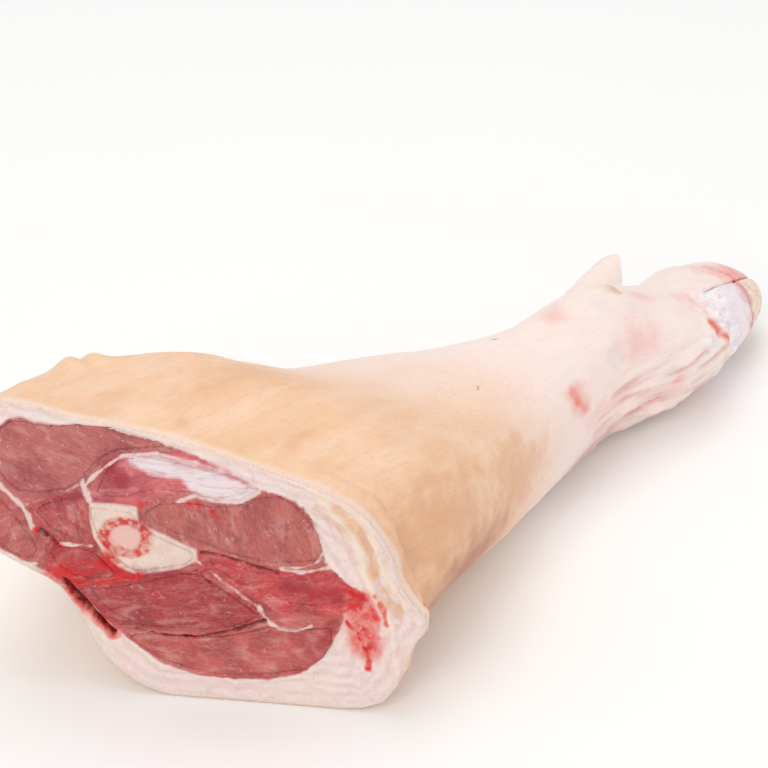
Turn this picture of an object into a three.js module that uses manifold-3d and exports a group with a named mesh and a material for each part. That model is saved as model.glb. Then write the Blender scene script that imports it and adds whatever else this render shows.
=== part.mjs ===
// A pork foreleg with its foot, cut across the upper arm bone and lying on its side.
// Millimetres, +Z up. The leg points along +X, from the cut face to the toes, and the side
// that faces -Y is called the front. The origin is at the bottom centre of the bounding box.
import * as THREE from 'three';
import { mergeVertices } from 'three/addons/utils/BufferGeometryUtils.js';
import Module from 'manifold-3d';

const wasm = await Module();
wasm.setup();

// ---------------------------------------------------------------- driving dimensions

// The leg is described by sections across it. Each row holds the distance along the leg, the
// front and back limits across it, the lowest and highest point, and three turns in degrees:
// yaw turns the section to face the front, tilt leans it back, roll turns it in its own plane.
const SECTIONS = [
  // along, front, back, low, high, yaw, tilt, roll
  [-19, -58, 138, 5, 129, 38, 8, 0],
  [35, -34, 157, 5, 118, 26, 6, -6],
  [90, -18, 131, -1, 93, 13, 3, 5],
  [145, -2, 98, -1.5, 82, 4, 0, 0],
  [195, 11, 74, 0, 77, 0, 0, 0],
  [240, 17, 74, 2, 78, 0, 0, 0],
  [275, 11, 74, 3, 66, 0, 0, 0],
  [305, 13, 76, 4, 55, 0, 0, 0],
  [335, 21, 82, 4, 49, 0, 0, 0],
  [358, 30, 83, 6, 41, 0, 0, 0],
  [374, 37, 82, 10, 35, 0, 0, 0],
];
const CUT_AT = SECTIONS[0][0];
const TIP_AT = 381;
const TIP_ROUNDING = 17;
const UPPER_SQUARENESS = 2.2;
const LOWER_SQUARENESS = 2.35;

// The outline of the cut face, in its own plane: u towards the front, v up. It is no ellipse,
// so the sections start with this outline and become ellipses over the blend length.
const RIM = [
  [51, 46], [45, 61], [40, 78], [28, 94], [11, 103], [-10, 110], [-36, 118], [-62, 124],
  [-90, 128], [-114, 133], [-131, 124], [-140, 104], [-138, 84], [-128, 68], [-112, 58],
  [-96, 49], [-86, 32], [-76, 14], [-55, 1], [-17, -1], [20, 0], [38, 5], [46, 20],
];
const CUT_MIDDLE = [-43, 68];
const RIM_BLEND = 60;

// The edge of the skin stands proud of the fat all round, and rolls over as a thick lip with
// a groove behind it on the front side, where it ends in a small pointed flap.
const EDGE_PROUD = 0.8;
const EDGE_WIDTH = 4;
const LIP_PROUD = 2.2;
const LIP_SWELL = 1.2;
const LIP_GROOVE = 3.5;
const LIP_FROM = -30;
const LIP_TO = 32;
const FLAP_REACH = 5.5;
const FLAP_ANGLE = -13;
const FLAP_WIDTH = 5;

// Long soft folds run along the underside of the foot, on its front.
const FOLD_DEPTH = 1.2;
const FOLD_COUNT = 4;
const FOLDS_FROM = 258;
const FOLDS_TO = 350;

// Two swellings of the skin lie behind the far end of the cut: along, angle, size, height.
const SWELLINGS = [
  [24, 128, 11, 3.5],
  [40, 118, 9, 3],
];

// Meshing of the skin.
const POINTS_AROUND = 72;
const RING_STEP = 10.5;
const RING_GROWTH = 1.28;
const FIRST_STEP = 2;
const TIP_RINGS = 6;
const SECTION_ASPECT = 0.75;

// The meat: each piece has its outline on the cut face, how far it runs into the leg, and how
// proud of the cut it stands. Neighbours are kept apart by a thin seam that belongs to the fat.
const SEAM = 0.5;
const GAP = 0.3;
const BLOCK = 900;
const CLEAR = 2;
const EDGE_ROUNDING = 1.1;
const LEVELS = [45, 110];
const LEAST_STEP = 15;
const SHARPEST = 0.4;
const COVER = 5;
const COVER_FROM = 12;
const COVER_TO = 60;
const MEAT = {
  muscle_top_left: {
    reach: 150, proud: 2.2, points: 26, colour: 0xb9666a,
    outline: [[-118, 120], [-110, 125], [-99, 123], [-91, 124], [-74, 125], [-57, 120.5],
      [-49, 118.5], [-49, 116.5], [-56, 116], [-63, 114.5], [-71, 113], [-78, 108], [-83, 101], [-88, 96], [-95, 93.5],
      [-103, 92], [-110, 92], [-116, 97], [-121, 105], [-124, 113]],
  },
  muscle_left_lobe: {
    reach: 90, proud: 1.2, points: 16, colour: 0xc26a69,
    outline: [[-130, 91], [-122, 91], [-116, 85], [-109, 76], [-104.5, 69], [-104, 64], [-107, 61],
      [-116, 64], [-126, 72], [-133, 82]],
  },
  muscle_mid_left: {
    reach: 130, proud: 1.0, points: 16, colour: 0xb14a50,
    outline: [[-104, 84], [-99, 88.5], [-91, 91], [-88, 91], [-87.5, 86], [-86.5, 79], [-86.5, 74], [-86, 71],
      [-90, 72], [-96, 75], [-101, 79]],
  },
  muscle_top_centre: {
    reach: 140, proud: 1.4, points: 22, colour: 0xb9767f,
    outline: [[-79, 94], [-77, 99], [-74, 105], [-70, 109], [-64, 111.5], [-55, 112], [-44, 110.5],
      [-34, 108.5], [-23, 106], [-14, 102], [-18, 98.5], [-30, 95], [-40, 96.5], [-52, 97], [-61, 95.5],
      [-68, 92]],
  },
  muscle_right: {
    reach: 175, proud: 1.6, points: 24, colour: 0xb65d60,
    outline: [[-59, 87], [-52, 92], [-40, 93], [-30, 92], [-20, 94.5], [-11, 98], [-5, 98.5], [2, 95],
      [8, 89], [12, 81], [14, 74], [12, 69.5], [5, 69], [-6, 67.5], [-17, 69], [-28, 71.5], [-37, 75],
      [-45, 78], [-54, 82]],
  },
  muscle_low_left: {
    reach: 130, proud: 1.5, points: 18, colour: 0xa83c45,
    outline: [[-99, 66], [-96, 68], [-87, 68], [-81, 66.5], [-77, 63], [-72.5, 59], [-71, 56.5], [-77, 54],
      [-86, 54], [-92, 56], [-97, 60]],
  },
  muscle_low_centre: {
    reach: 190, proud: 1.8, points: 20, colour: 0xa9434c,
    outline: [[-84, 50], [-75, 51], [-63, 54], [-53, 57.5], [-42, 61], [-35, 59], [-28, 54], [-20, 48],
      [-13, 44], [-13, 41], [-19, 38], [-29, 34.5], [-46, 33.5], [-59, 33.5], [-69, 36], [-78, 42]],
  },
  muscle_right_band: {
    reach: 150, proud: 0.6, points: 20, colour: 0xb0505a,
    outline: [[-34, 68.5], [-28, 66.5], [-20, 65], [-11, 62.5], [-2, 61.5], [7, 62.5], [15, 63],
      [22, 61], [28, 57], [28, 54], [22, 51.5], [12, 49], [3, 49], [-7, 52], [-16, 55], [-25, 59],
      [-31, 63]],
  },
  muscle_bottom: {
    reach: 135, proud: 1.9, points: 22, colour: 0xb54f54,
    outline: [[-68, 28.5], [-60, 30.5], [-46, 30.5], [-31, 31], [-19, 34], [-11, 37], [-3, 38.5], [4, 37],
      [12, 39.5], [17, 41], [19, 36], [16, 27], [8, 19], [-6, 15], [-23, 13], [-38, 13.5], [-53, 18],
      [-63, 24]],
  },
};
const HUMERUS = {
  reach: 205, proud: 1.2, points: 22, colour: 0xe6dbce,
  outline: [[-81.5, 87.5], [-73, 87], [-64, 86.5], [-62, 82], [-56, 77.5], [-47, 73.5], [-39, 70],
    [-39.5, 66.5], [-42, 64], [-50, 62], [-61, 59], [-68, 61], [-72.5, 65], [-76.5, 70], [-79.5, 75.5],
    [-81.5, 82]],
};
const MARROW = {
  reach: 190, proud: 0.6, points: 14, colour: 0xc9584f,
  outline: [[-76, 81], [-73, 83], [-65, 81], [-60, 78], [-59, 75], [-61, 70.5], [-65, 68], [-70, 70],
    [-74, 74], [-76.5, 78]],
};

// Two dark slits open between the meat and the skin, at the lower left of the cut.
const SLITS = [
  {
    reach: 11, points: 12,
    outline: [[-94, 52], [-89.1, 48.5], [-83.5, 41.3], [-77.8, 34.2], [-73, 28.8], [-74.7, 26.7],
      [-79.6, 32.1], [-85.2, 39.3], [-91, 46.4]],
  },
  {
    reach: 7, points: 8,
    outline: [[-103.7, 74], [-100.7, 75.6], [-98.6, 74], [-100.5, 71.9]],
  },
];

// The two toes, without their hoofs, come out of the skin at their coronets. The cleft between
// them is a fine line that opens into a wedge towards the tips.
const NEAR_CORONET = { at: [321, 40, 33], facing: [1, -0.2, 0.13] };
const FAR_CORONET = { at: [354, 45.5, 37.5], facing: [0.84, 0.55, 0] };
const CORONET_STEP = 0.9;
const CLEFT = { at: [354, 45.5, 37.5], facing: [0, 0.865, 0.5], opening: 2.4 };

// The one dewclaw that is left, at the back of the foot, is a broad horn cut off square.
const DEWCLAW = { root: [238, 61, 45], tip: [301, 82, 53], thick: 13, wide: 15 };
const DEWCLAW_PROFILE = [[0, -0.2], [0.7, -0.17], [1, 0], [1, 0.4], [0.82, 0.7], [0.6, 0.95], [0.45, 1], [0, 1.01]];

// ---------------------------------------------------------------- small helpers

const radians = (degrees) => degrees * Math.PI / 180;
const bell = (value, width) => Math.exp(-(value * value) / (width * width));

function smoothStep(value) {
  const t = Math.min(1, Math.max(0, value));
  return t * t * (3 - 2 * t);
}

function turnBetween(a, b) {
  const turn = (a - b) % 360;
  return turn > 180 ? turn - 360 : turn < -180 ? turn + 360 : turn;
}

// 1 inside the range, with soft shoulders of the given width outside it.
function plateau(value, from, to, shoulder) {
  return smoothStep((value - from) / shoulder + 1) * smoothStep((to - value) / shoulder + 1);
}

// ---------------------------------------------------------------- sections along the leg

// A smooth curve through one column of the section rows.
function columnAt(along, column) {
  const last = SECTIONS.length - 1;
  let i = 0;
  while (i < last - 1 && along > SECTIONS[i + 1][0]) i += 1;
  const slope = (k) => {
    const before = SECTIONS[Math.max(k - 1, 0)];
    const after = SECTIONS[Math.min(k + 1, last)];
    return (after[column] - before[column]) / (after[0] - before[0]);
  };
  const span = SECTIONS[i + 1][0] - SECTIONS[i][0];
  const t = (along - SECTIONS[i][0]) / span;
  const from = SECTIONS[i][column];
  const to = SECTIONS[i + 1][column];
  const rise = t * t * (3 - 2 * t);
  return from + (to - from) * rise
    + span * slope(i) * t * (1 - t) * (1 - t)
    - span * slope(i + 1) * t * t * (1 - t);
}

// The place, directions and half sizes of the section at a distance along the leg.
function sectionAt(along) {
  const [front, back, low, high, yawTurn, tiltTurn, rollTurn] = [1, 2, 3, 4, 5, 6, 7]
    .map((column) => columnAt(along, column));
  const yaw = radians(yawTurn);
  const tilt = radians(tiltTurn);
  const across = new THREE.Vector3(Math.sin(yaw), -Math.cos(yaw), 0);
  const outward = new THREE.Vector3(
    -Math.cos(yaw) * Math.cos(tilt), -Math.sin(yaw) * Math.cos(tilt), Math.sin(tilt));
  const up = outward.clone().cross(across);
  return {
    along,
    middle: new THREE.Vector3(along, (front + back) / 2, (low + high) / 2),
    across,
    up,
    outward,
    halfWidth: (back - front) / 2,
    halfHeight: (high - low) / 2,
    roll: radians(rollTurn),
  };
}

// The rim of the cut face as a radius for each angle about its middle.
const rimCurve = new THREE.CatmullRomCurve3(
  RIM.map(([u, v]) => new THREE.Vector3(u - CUT_MIDDLE[0], v - CUT_MIDDLE[1], 0)), true, 'catmullrom');
const rimPolar = rimCurve.getPoints(720)
  .map((point) => ({ angle: Math.atan2(point.y, point.x), radius: Math.hypot(point.x, point.y) }))
  .sort((a, b) => a.angle - b.angle);

function rimRadius(angle) {
  const wrapped = Math.atan2(Math.sin(angle), Math.cos(angle));
  const next = rimPolar.findIndex((entry) => entry.angle >= wrapped);
  const after = rimPolar[next < 0 ? 0 : next];
  const before = rimPolar[next <= 0 ? rimPolar.length - 1 : next - 1];
  const gap = (after.angle - before.angle + 2 * Math.PI) % (2 * Math.PI);
  const part = gap > 0 ? ((wrapped - before.angle + 2 * Math.PI) % (2 * Math.PI)) / gap : 0;
  return before.radius + (after.radius - before.radius) * part;
}

// The radius of the plain leg, without lip or folds, at an angle about the section's middle.
function plainRadius(section, angle) {
  const c = Math.cos(angle - section.roll);
  const s = Math.sin(angle - section.roll);
  const power = s >= 0 ? UPPER_SQUARENESS : LOWER_SQUARENESS;
  const ellipse = (Math.abs(c / section.halfWidth) ** power
    + Math.abs(s / section.halfHeight) ** power) ** (-1 / power);
  const share = smoothStep((section.along - CUT_AT) / RIM_BLEND);
  return rimRadius(angle) * (1 - share) + ellipse * share;
}

function pointOn(section, angle, radius, proud = 0) {
  return section.middle.clone()
    .addScaledVector(section.across, radius * Math.cos(angle))
    .addScaledVector(section.up, radius * Math.sin(angle))
    .addScaledVector(section.outward, proud);
}

// ---------------------------------------------------------------- relief of the skin

function lipShare(degrees) {
  return plateau(turnBetween(degrees, 0), LIP_FROM, LIP_TO, 14);
}

function lipRelief(along, degrees) {
  const behind = along - CUT_AT;
  const swell = LIP_SWELL * bell(behind - 4, 7);
  const groove = LIP_GROOVE * bell(behind - 19, 8);
  const flap = FLAP_REACH * bell(turnBetween(degrees, FLAP_ANGLE), FLAP_WIDTH) * bell(behind - 2, 7);
  return lipShare(degrees) * (swell - groove) + flap;
}

function foldRelief(along, degrees) {
  const turn = turnBetween(degrees, -45);
  const share = plateau(along, FOLDS_FROM, FOLDS_TO, 14) * plateau(turn, -38, 38, 14);
  return -FOLD_DEPTH * share * (0.5 + 0.5 * Math.cos(radians(turn * FOLD_COUNT * 360 / 90)));
}

function swellingRelief(along, degrees) {
  return SWELLINGS.reduce((sum, [at, angle, size, height]) => {
    const away = Math.hypot(along - at, radians(turnBetween(degrees, angle)) * 60);
    return sum + height * bell(away, size);
  }, 0);
}

function skinRadius(section, angle) {
  const degrees = THREE.MathUtils.radToDeg(angle);
  const ending = Math.max(section.along - TIP_AT + TIP_ROUNDING, 0) / TIP_ROUNDING;
  const rounded = Math.cbrt(1 - ending ** 3);
  return plainRadius(section, angle) * rounded + lipRelief(section.along, degrees)
    + foldRelief(section.along, degrees) + swellingRelief(section.along, degrees);
}

// ---------------------------------------------------------------- solids

// Turns a closed geometry into a manifold solid, with its faces pointing out.
function solid(geometry) {
  const bare = geometry.clone();
  bare.deleteAttribute('normal');
  bare.deleteAttribute('uv');
  const merged = mergeVertices(bare, 1e-4);
  const vertProperties = new Float32Array(merged.attributes.position.array);
  const triVerts = new Uint32Array(merged.index.array.filter((_, k, all) => {
    const start = k - (k % 3);
    const [a, b, c] = [all[start], all[start + 1], all[start + 2]];
    return a !== b && b !== c && c !== a;
  }));
  if (enclosed(vertProperties, triVerts) < 0) {
    for (let k = 0; k < triVerts.length; k += 3) {
      [triVerts[k], triVerts[k + 1]] = [triVerts[k + 1], triVerts[k]];
    }
  }
  return new wasm.Manifold(new wasm.Mesh({ numProp: 3, vertProperties, triVerts }));
}

// Six times the volume that a triangle mesh encloses, negative if it is inside out.
function enclosed(positions, indices) {
  let sum = 0;
  const [a, b, c] = [new THREE.Vector3(), new THREE.Vector3(), new THREE.Vector3()];
  for (let k = 0; k < indices.length; k += 3) {
    a.fromArray(positions, indices[k] * 3);
    b.fromArray(positions, indices[k + 1] * 3);
    c.fromArray(positions, indices[k + 2] * 3);
    sum += a.dot(b.cross(c));
  }
  return sum;
}

function geometryOf(manifold) {
  const mesh = manifold.getMesh();
  const geometry = new THREE.BufferGeometry();
  geometry.setAttribute('position', new THREE.BufferAttribute(new Float32Array(mesh.vertProperties), 3));
  geometry.setIndex(new THREE.BufferAttribute(new Uint32Array(mesh.triVerts), 1));
  return geometry;
}

// Moves every vertex of a geometry to the place that a function gives for it.
function shaped(geometry, place) {
  const position = geometry.attributes.position;
  const vertex = new THREE.Vector3();
  for (let k = 0; k < position.count; k += 1) {
    vertex.fromBufferAttribute(position, k);
    const moved = place(vertex);
    position.setXYZ(k, moved.x, moved.y, moved.z);
  }
  return geometry;
}

// ---------------------------------------------------------------- skin and fat

// Rings lie close together behind the cut, for the lip, and further apart along the leg.
function ringPlaces() {
  const edge = [
    { along: CUT_AT, inset: EDGE_WIDTH, proud: 0 },
    { along: CUT_AT, inset: EDGE_WIDTH / 2.5, proud: 1 },
    { along: CUT_AT, inset: 0, proud: 0.5 },
  ];
  const places = [...edge];
  let step = FIRST_STEP;
  let along = CUT_AT + step;
  while (along < TIP_AT - TIP_ROUNDING) {
    places.push({ along, inset: 0, proud: 0 });
    step = Math.min(step * RING_GROWTH, RING_STEP);
    along += step;
  }
  for (let k = 0; k <= TIP_RINGS; k += 1) {
    const back = TIP_ROUNDING * Math.cos(Math.PI / 2 * k / TIP_RINGS) ** 1.5;
    places.push({ along: TIP_AT - back, inset: 0, proud: 0 });
  }
  return places;
}

function angleOfPoint(k) {
  const turn = 2 * Math.PI * k / POINTS_AROUND;
  return Math.atan2(SECTION_ASPECT * Math.sin(turn), Math.cos(turn));
}

// The whole outside of the leg, to the tips of the toes, drawn in by an inset.
function legSolid(drawnIn = 0) {
  const places = ringPlaces();
  const rings = places.length - 1;
  const tube = new THREE.CylinderGeometry(1, 1, rings, POINTS_AROUND, rings);
  return solid(shaped(tube, (vertex) => {
    const { along, inset, proud } = places[Math.round(vertex.y + rings / 2)];
    const section = sectionAt(along);
    const reach = Math.hypot(vertex.x, vertex.z);
    if (reach < 0.5) return section.middle;
    const turn = Math.atan2(vertex.z, vertex.x) * POINTS_AROUND / (2 * Math.PI);
    const angle = angleOfPoint(Math.round(turn));
    const edge = EDGE_PROUD + LIP_PROUD * lipShare(THREE.MathUtils.radToDeg(angle));
    const radius = Math.max(skinRadius(section, angle) - inset - drawnIn, 0);
    return pointOn(section, angle, radius, proud * edge);
  }));
}

// ---------------------------------------------------------------- meat, bone and marrow

// The closed outline through the named points, as evenly spaced corners.
function cornersOf({ outline, points }) {
  const curve = new THREE.CatmullRomCurve3(
    outline.map(([u, v]) => new THREE.Vector3(u - CUT_MIDDLE[0], v - CUT_MIDDLE[1], 0)), true, 'catmullrom');
  const corners = curve.getSpacedPoints(points).slice(0, points);
  return THREE.ShapeUtils.isClockWise(corners) ? corners.reverse() : corners;
}

// Moves each corner inward, so that both of its sides move in by the distance.
function insetCorners(corners, distance) {
  return corners.map((corner, k) => {
    const before = corners[(k + corners.length - 1) % corners.length];
    const after = corners[(k + 1) % corners.length];
    const arriving = corner.clone().sub(before).normalize();
    const leaving = after.clone().sub(corner).normalize();
    const mitre = distance / Math.max(1 + arriving.dot(leaving), SHARPEST);
    const side = arriving.add(leaving).multiplyScalar(mitre);
    return new THREE.Vector3(corner.x - side.y, corner.y + side.x, 0);
  });
}

// Where a corner of the cut face is found again, deeper in the leg: at the same angle, and at
// the same share of the radius. A proud corner stands in front of the cut.
function followed(corners, depth, inset) {
  const section = sectionAt(CUT_AT + Math.max(depth, 0));
  const cover = COVER * smoothStep((depth - COVER_FROM) / (COVER_TO - COVER_FROM));
  const flat = corners.map((corner) => {
    const angle = Math.atan2(corner.y, corner.x);
    const share = Math.hypot(corner.x, corner.y) / rimRadius(angle);
    const radius = share * (plainRadius(section, angle) - cover);
    return new THREE.Vector3(radius * Math.cos(angle), radius * Math.sin(angle), 0);
  });
  return insetCorners(flat, inset)
    .map((corner) => pointOn(section, Math.atan2(corner.y, corner.x), corner.length(), Math.max(-depth, 0)));
}

// A solid that follows the leg through the given levels, each with its depth and inset.
function strand(piece, levels) {
  const corners = cornersOf(piece);
  const layers = levels.map(({ depth, inset }) => followed(corners, depth, inset));
  const shape = new THREE.Shape(corners.map((corner) => new THREE.Vector2(corner.x, corner.y)));
  const steps = levels.length - 1;
  const bar = new THREE.ExtrudeGeometry(shape, { depth: steps, steps, bevelEnabled: false });
  return solid(shaped(bar, (vertex) => {
    const nearest = corners.reduce((best, corner, k) => {
      const away = Math.hypot(corner.x - vertex.x, corner.y - vertex.y);
      return away < best.away ? { away, k } : best;
    }, { away: Infinity, k: 0 });
    return layers[Math.round(vertex.z)][nearest.k];
  }));
}

// The pieces share the depths at which they are shaped, so that they bend alike.
function deeper(piece) {
  return LEVELS.filter((depth) => depth < piece.reach - LEAST_STEP);
}

function meatSolid(piece) {
  return strand(piece, [
    { depth: -piece.proud, inset: SEAM + EDGE_ROUNDING },
    { depth: 0, inset: SEAM },
    ...deeper(piece).map((depth) => ({ depth, inset: SEAM })),
    { depth: piece.reach, inset: SEAM },
  ]);
}

// The room that a piece takes up in what surrounds it, open at the cut.
function pocketSolid(piece) {
  const inset = SEAM - GAP;
  return strand(piece, [
    { depth: -(LIP_PROUD + EDGE_PROUD + CLEAR), inset },
    { depth: 0, inset },
    ...deeper(piece).map((depth) => ({ depth, inset })),
    { depth: piece.reach + GAP, inset },
  ]);
}

// ---------------------------------------------------------------- toes and dewclaw

function turnTo(facing) {
  return new THREE.Quaternion().setFromUnitVectors(
    new THREE.Vector3(1, 0, 0), new THREE.Vector3(...facing).normalize());
}

// All that lies beyond a plane, on the side that it faces.
function beyond({ at, facing }, shift = 0) {
  const block = new THREE.BoxGeometry(BLOCK, BLOCK, BLOCK);
  block.translate(BLOCK / 2 + shift, 0, 0);
  block.applyQuaternion(turnTo(facing));
  block.translate(...at);
  return solid(block);
}

// The wedge of air between the tips of the toes.
function cleftSolid() {
  const reach = TIP_AT - CLEFT.at[0] + 2;
  const half = CLEFT.opening / 2;
  const opening = new THREE.Shape();
  opening.moveTo(0, 0);
  opening.quadraticCurveTo(reach / 2, half / 2, reach, half);
  opening.lineTo(reach, -half);
  opening.quadraticCurveTo(reach / 2, -half / 2, 0, 0);
  const wedge = new THREE.ExtrudeGeometry(opening, { depth: 160, curveSegments: 4, bevelEnabled: false });
  wedge.translate(0, 0, -80);
  wedge.applyQuaternion(new THREE.Quaternion().setFromUnitVectors(
    new THREE.Vector3(0, 1, 0), new THREE.Vector3(...CLEFT.facing).normalize()));
  wedge.translate(...CLEFT.at);
  return solid(wedge);
}

function dewclawSolid() {
  const start = new THREE.Vector3(...DEWCLAW.root);
  const line = new THREE.Vector3(...DEWCLAW.tip).sub(start);
  const profile = DEWCLAW_PROFILE.map(([radius, share]) => new THREE.Vector2(radius, share * line.length()));
  const horn = new THREE.LatheGeometry(profile, 16);
  horn.scale(DEWCLAW.thick, 1, DEWCLAW.wide);
  horn.applyQuaternion(new THREE.Quaternion().setFromUnitVectors(
    new THREE.Vector3(0, 1, 0), line.clone().normalize()));
  horn.translate(start.x, start.y, start.z);
  return solid(horn);
}

// ---------------------------------------------------------------- assembly

const leg = new THREE.Group();

function addNode(name, manifold, colour, roughness) {
  const material = new THREE.MeshStandardMaterial({ color: colour, roughness, metalness: 0 });
  const mesh = new THREE.Mesh(geometryOf(manifold), material);
  mesh.name = name;
  leg.add(mesh);
}

const floor = beyond({ at: [0, 0, 0], facing: [0, 0, -1] });
const bare = beyond(NEAR_CORONET).subtract(beyond(CLEFT)).add(beyond(FAR_CORONET).intersect(beyond(CLEFT)));
let skin = legSolid().subtract(bare).add(dewclawSolid());
for (const piece of [...Object.values(MEAT), HUMERUS, ...SLITS]) skin = skin.subtract(pocketSolid(piece));
addNode('skin_and_fat', skin.subtract(floor), 0xecc9ac, 0.5);

for (const [name, piece] of Object.entries(MEAT)) addNode(name, meatSolid(piece), piece.colour, 0.4);
addNode('humerus', meatSolid(HUMERUS).subtract(pocketSolid(MARROW)), HUMERUS.colour, 0.5);
addNode('marrow', meatSolid(MARROW), MARROW.colour, 0.35);

const toes = legSolid(CORONET_STEP).subtract(cleftSolid()).subtract(floor);
const nearSide = beyond(NEAR_CORONET, GAP).subtract(beyond(CLEFT, -GAP));
const farSide = beyond(FAR_CORONET, GAP).intersect(beyond(CLEFT, GAP));
addNode('near_toe', toes.intersect(nearSide), 0xe2bcae, 0.45);
addNode('far_toe', toes.intersect(farSide), 0xe39f90, 0.45);

const box = new THREE.Box3().setFromObject(leg);
const middle = box.getCenter(new THREE.Vector3());
leg.position.set(-middle.x, -middle.y, -box.min.z);

const part = new THREE.Group();
part.add(leg);

export default part;
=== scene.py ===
# %% [markdown]
# # A raw pork foreleg with its foot
#
# The leg lies on its side on a pale floor. Butchers call this joint the shoulder shank with the
# trotter left on. A saw has gone through the upper arm bone, so one end shows the meat, the bone,
# the fat and the edge of the skin, and at the other end the two toes have lost their hoofs.
# The solids come from the CAD frame. This script gives each of them its skin, flesh or bone.

import math

import bmesh
import bpy
import numpy as np
from mathutils import Matrix, Vector, noise
from mathutils.bvhtree import BVHTree


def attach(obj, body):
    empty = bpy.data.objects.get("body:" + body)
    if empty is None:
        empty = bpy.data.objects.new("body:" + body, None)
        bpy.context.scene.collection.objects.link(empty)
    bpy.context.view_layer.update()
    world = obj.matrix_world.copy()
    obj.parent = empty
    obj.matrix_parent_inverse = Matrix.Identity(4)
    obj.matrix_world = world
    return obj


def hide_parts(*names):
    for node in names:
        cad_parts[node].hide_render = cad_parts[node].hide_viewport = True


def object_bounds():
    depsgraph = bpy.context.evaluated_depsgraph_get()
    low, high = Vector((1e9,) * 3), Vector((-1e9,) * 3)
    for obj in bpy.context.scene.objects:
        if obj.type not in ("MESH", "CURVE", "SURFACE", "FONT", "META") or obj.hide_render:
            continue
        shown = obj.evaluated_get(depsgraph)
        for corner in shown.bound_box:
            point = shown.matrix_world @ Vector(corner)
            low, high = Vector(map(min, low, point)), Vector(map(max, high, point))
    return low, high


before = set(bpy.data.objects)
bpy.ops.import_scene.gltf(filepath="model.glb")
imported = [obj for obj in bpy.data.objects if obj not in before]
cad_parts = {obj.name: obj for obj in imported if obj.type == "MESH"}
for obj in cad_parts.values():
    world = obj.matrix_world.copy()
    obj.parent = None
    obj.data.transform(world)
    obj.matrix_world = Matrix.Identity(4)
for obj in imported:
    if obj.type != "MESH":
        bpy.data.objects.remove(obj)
cad_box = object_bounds()
print("CAD nodes:", sorted(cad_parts))

# %% [markdown]
# ## The saw cut has its own directions
#
# Most details sit on the flat cut, which leans back and is turned towards the viewer. So the
# script works there with three lengths in millimetres: u runs towards the front, v runs up, and
# depth runs out of the leg, being 0 on the cut and negative inside the meat.

# %% Directions on the cut
MM = 0.001
LEG_ORIGIN = Vector((-0.15236, -0.05317, 0.0))
CUT_YAW = math.radians(38)
CUT_TILT = math.radians(8)
CUT_POINT = LEG_ORIGIN + Vector((-19, 40, 67)) * MM
CUT_POINT_UV = (-43, 68)

ACROSS = Vector((math.sin(CUT_YAW), -math.cos(CUT_YAW), 0))
OUTWARD = Vector(
    (
        -math.cos(CUT_YAW) * math.cos(CUT_TILT),
        -math.sin(CUT_YAW) * math.cos(CUT_TILT),
        math.sin(CUT_TILT),
    )
)
UPWARD = OUTWARD.cross(ACROSS)


def on_cut(u, v, depth=0.0):
    """The place of a point in the scene, from its u, v and depth in millimetres."""
    along = ACROSS * (u - CUT_POINT_UV[0]) + UPWARD * (v - CUT_POINT_UV[1])
    return CUT_POINT + (along + OUTWARD * depth) * MM


def cut_places(points):
    """Arrays of u, v and depth in millimetres for an array of points."""
    away = (points - np.array(CUT_POINT)) / MM
    u = away @ np.array(ACROSS) + CUT_POINT_UV[0]
    v = away @ np.array(UPWARD) + CUT_POINT_UV[1]
    return u, v, away @ np.array(OUTWARD)


print("the cut faces", [round(x, 3) for x in OUTWARD])

# %% [markdown]
# ## Getting solids ready for sculpting
#
# A CAD solid arrives as loose triangles that are large where the shape is plain. Sculpting needs
# small even faces. So each solid is copied, its doubled corners are merged, and a voxel remesh
# gives it new faces of one size. A smooth modifier then takes away the facets. Doing it with
# modifiers keeps the shape where the CAD put it.

# %% From a CAD solid to a piece
def cad_copy(node):
    """A merged copy of a CAD node, as a bmesh."""
    shape = bmesh.new()
    shape.from_mesh(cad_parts[node].data)
    bmesh.ops.remove_doubles(shape, verts=shape.verts, dist=1e-6)
    return shape


def new_piece(name, shape, node):
    """Turns a bmesh into a piece that rides on the leg and stands for a CAD node."""
    mesh = bpy.data.meshes.new(name)
    shape.to_mesh(mesh)
    shape.free()
    piece = bpy.data.objects.new(name, mesh)
    bpy.context.scene.collection.objects.link(piece)
    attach(piece, "root")
    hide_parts(node)
    return piece


def settle(piece):
    """Applies the piece's modifiers to its mesh."""
    graph = bpy.context.evaluated_depsgraph_get()
    mesh = bpy.data.meshes.new_from_object(piece.evaluated_get(graph))
    piece.modifiers.clear()
    piece.vertex_groups.clear()
    piece.data = mesh
    mesh.shade_smooth()


def remesh(piece, size_mm):
    """Gives the piece new faces of one size."""
    fine = piece.modifiers.new("even faces", "REMESH")
    fine.mode = "VOXEL"
    fine.voxel_size = size_mm * MM
    settle(piece)


counts = {name: len(node.data.polygons) for name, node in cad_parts.items()}
print("faces of the CAD nodes:", counts)

# %% [markdown]
# Sculpting is done on whole arrays of points. A relief is a few sums of smooth steps, bells and
# noise, so these are the helpers that come up again and again.

# %% Points, smooth steps and noise
def points_of(piece):
    points = np.zeros(len(piece.data.vertices) * 3)
    piece.data.vertices.foreach_get("co", points)
    return points.reshape(-1, 3)


def normals_of(piece):
    normals = np.zeros(len(piece.data.vertices) * 3)
    piece.data.vertices.foreach_get("normal", normals)
    return normals.reshape(-1, 3)


def place_points(piece, points):
    piece.data.vertices.foreach_set("co", points.ravel())
    piece.data.update()


def store(piece, values):
    """Keeps numbers for each point of a piece, where its material can read them by name."""
    for name, numbers in values.items():
        layer = piece.data.attributes.new(name, "FLOAT", "POINT")
        layer.data.foreach_set("value", numbers.astype(np.float32))


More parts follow.
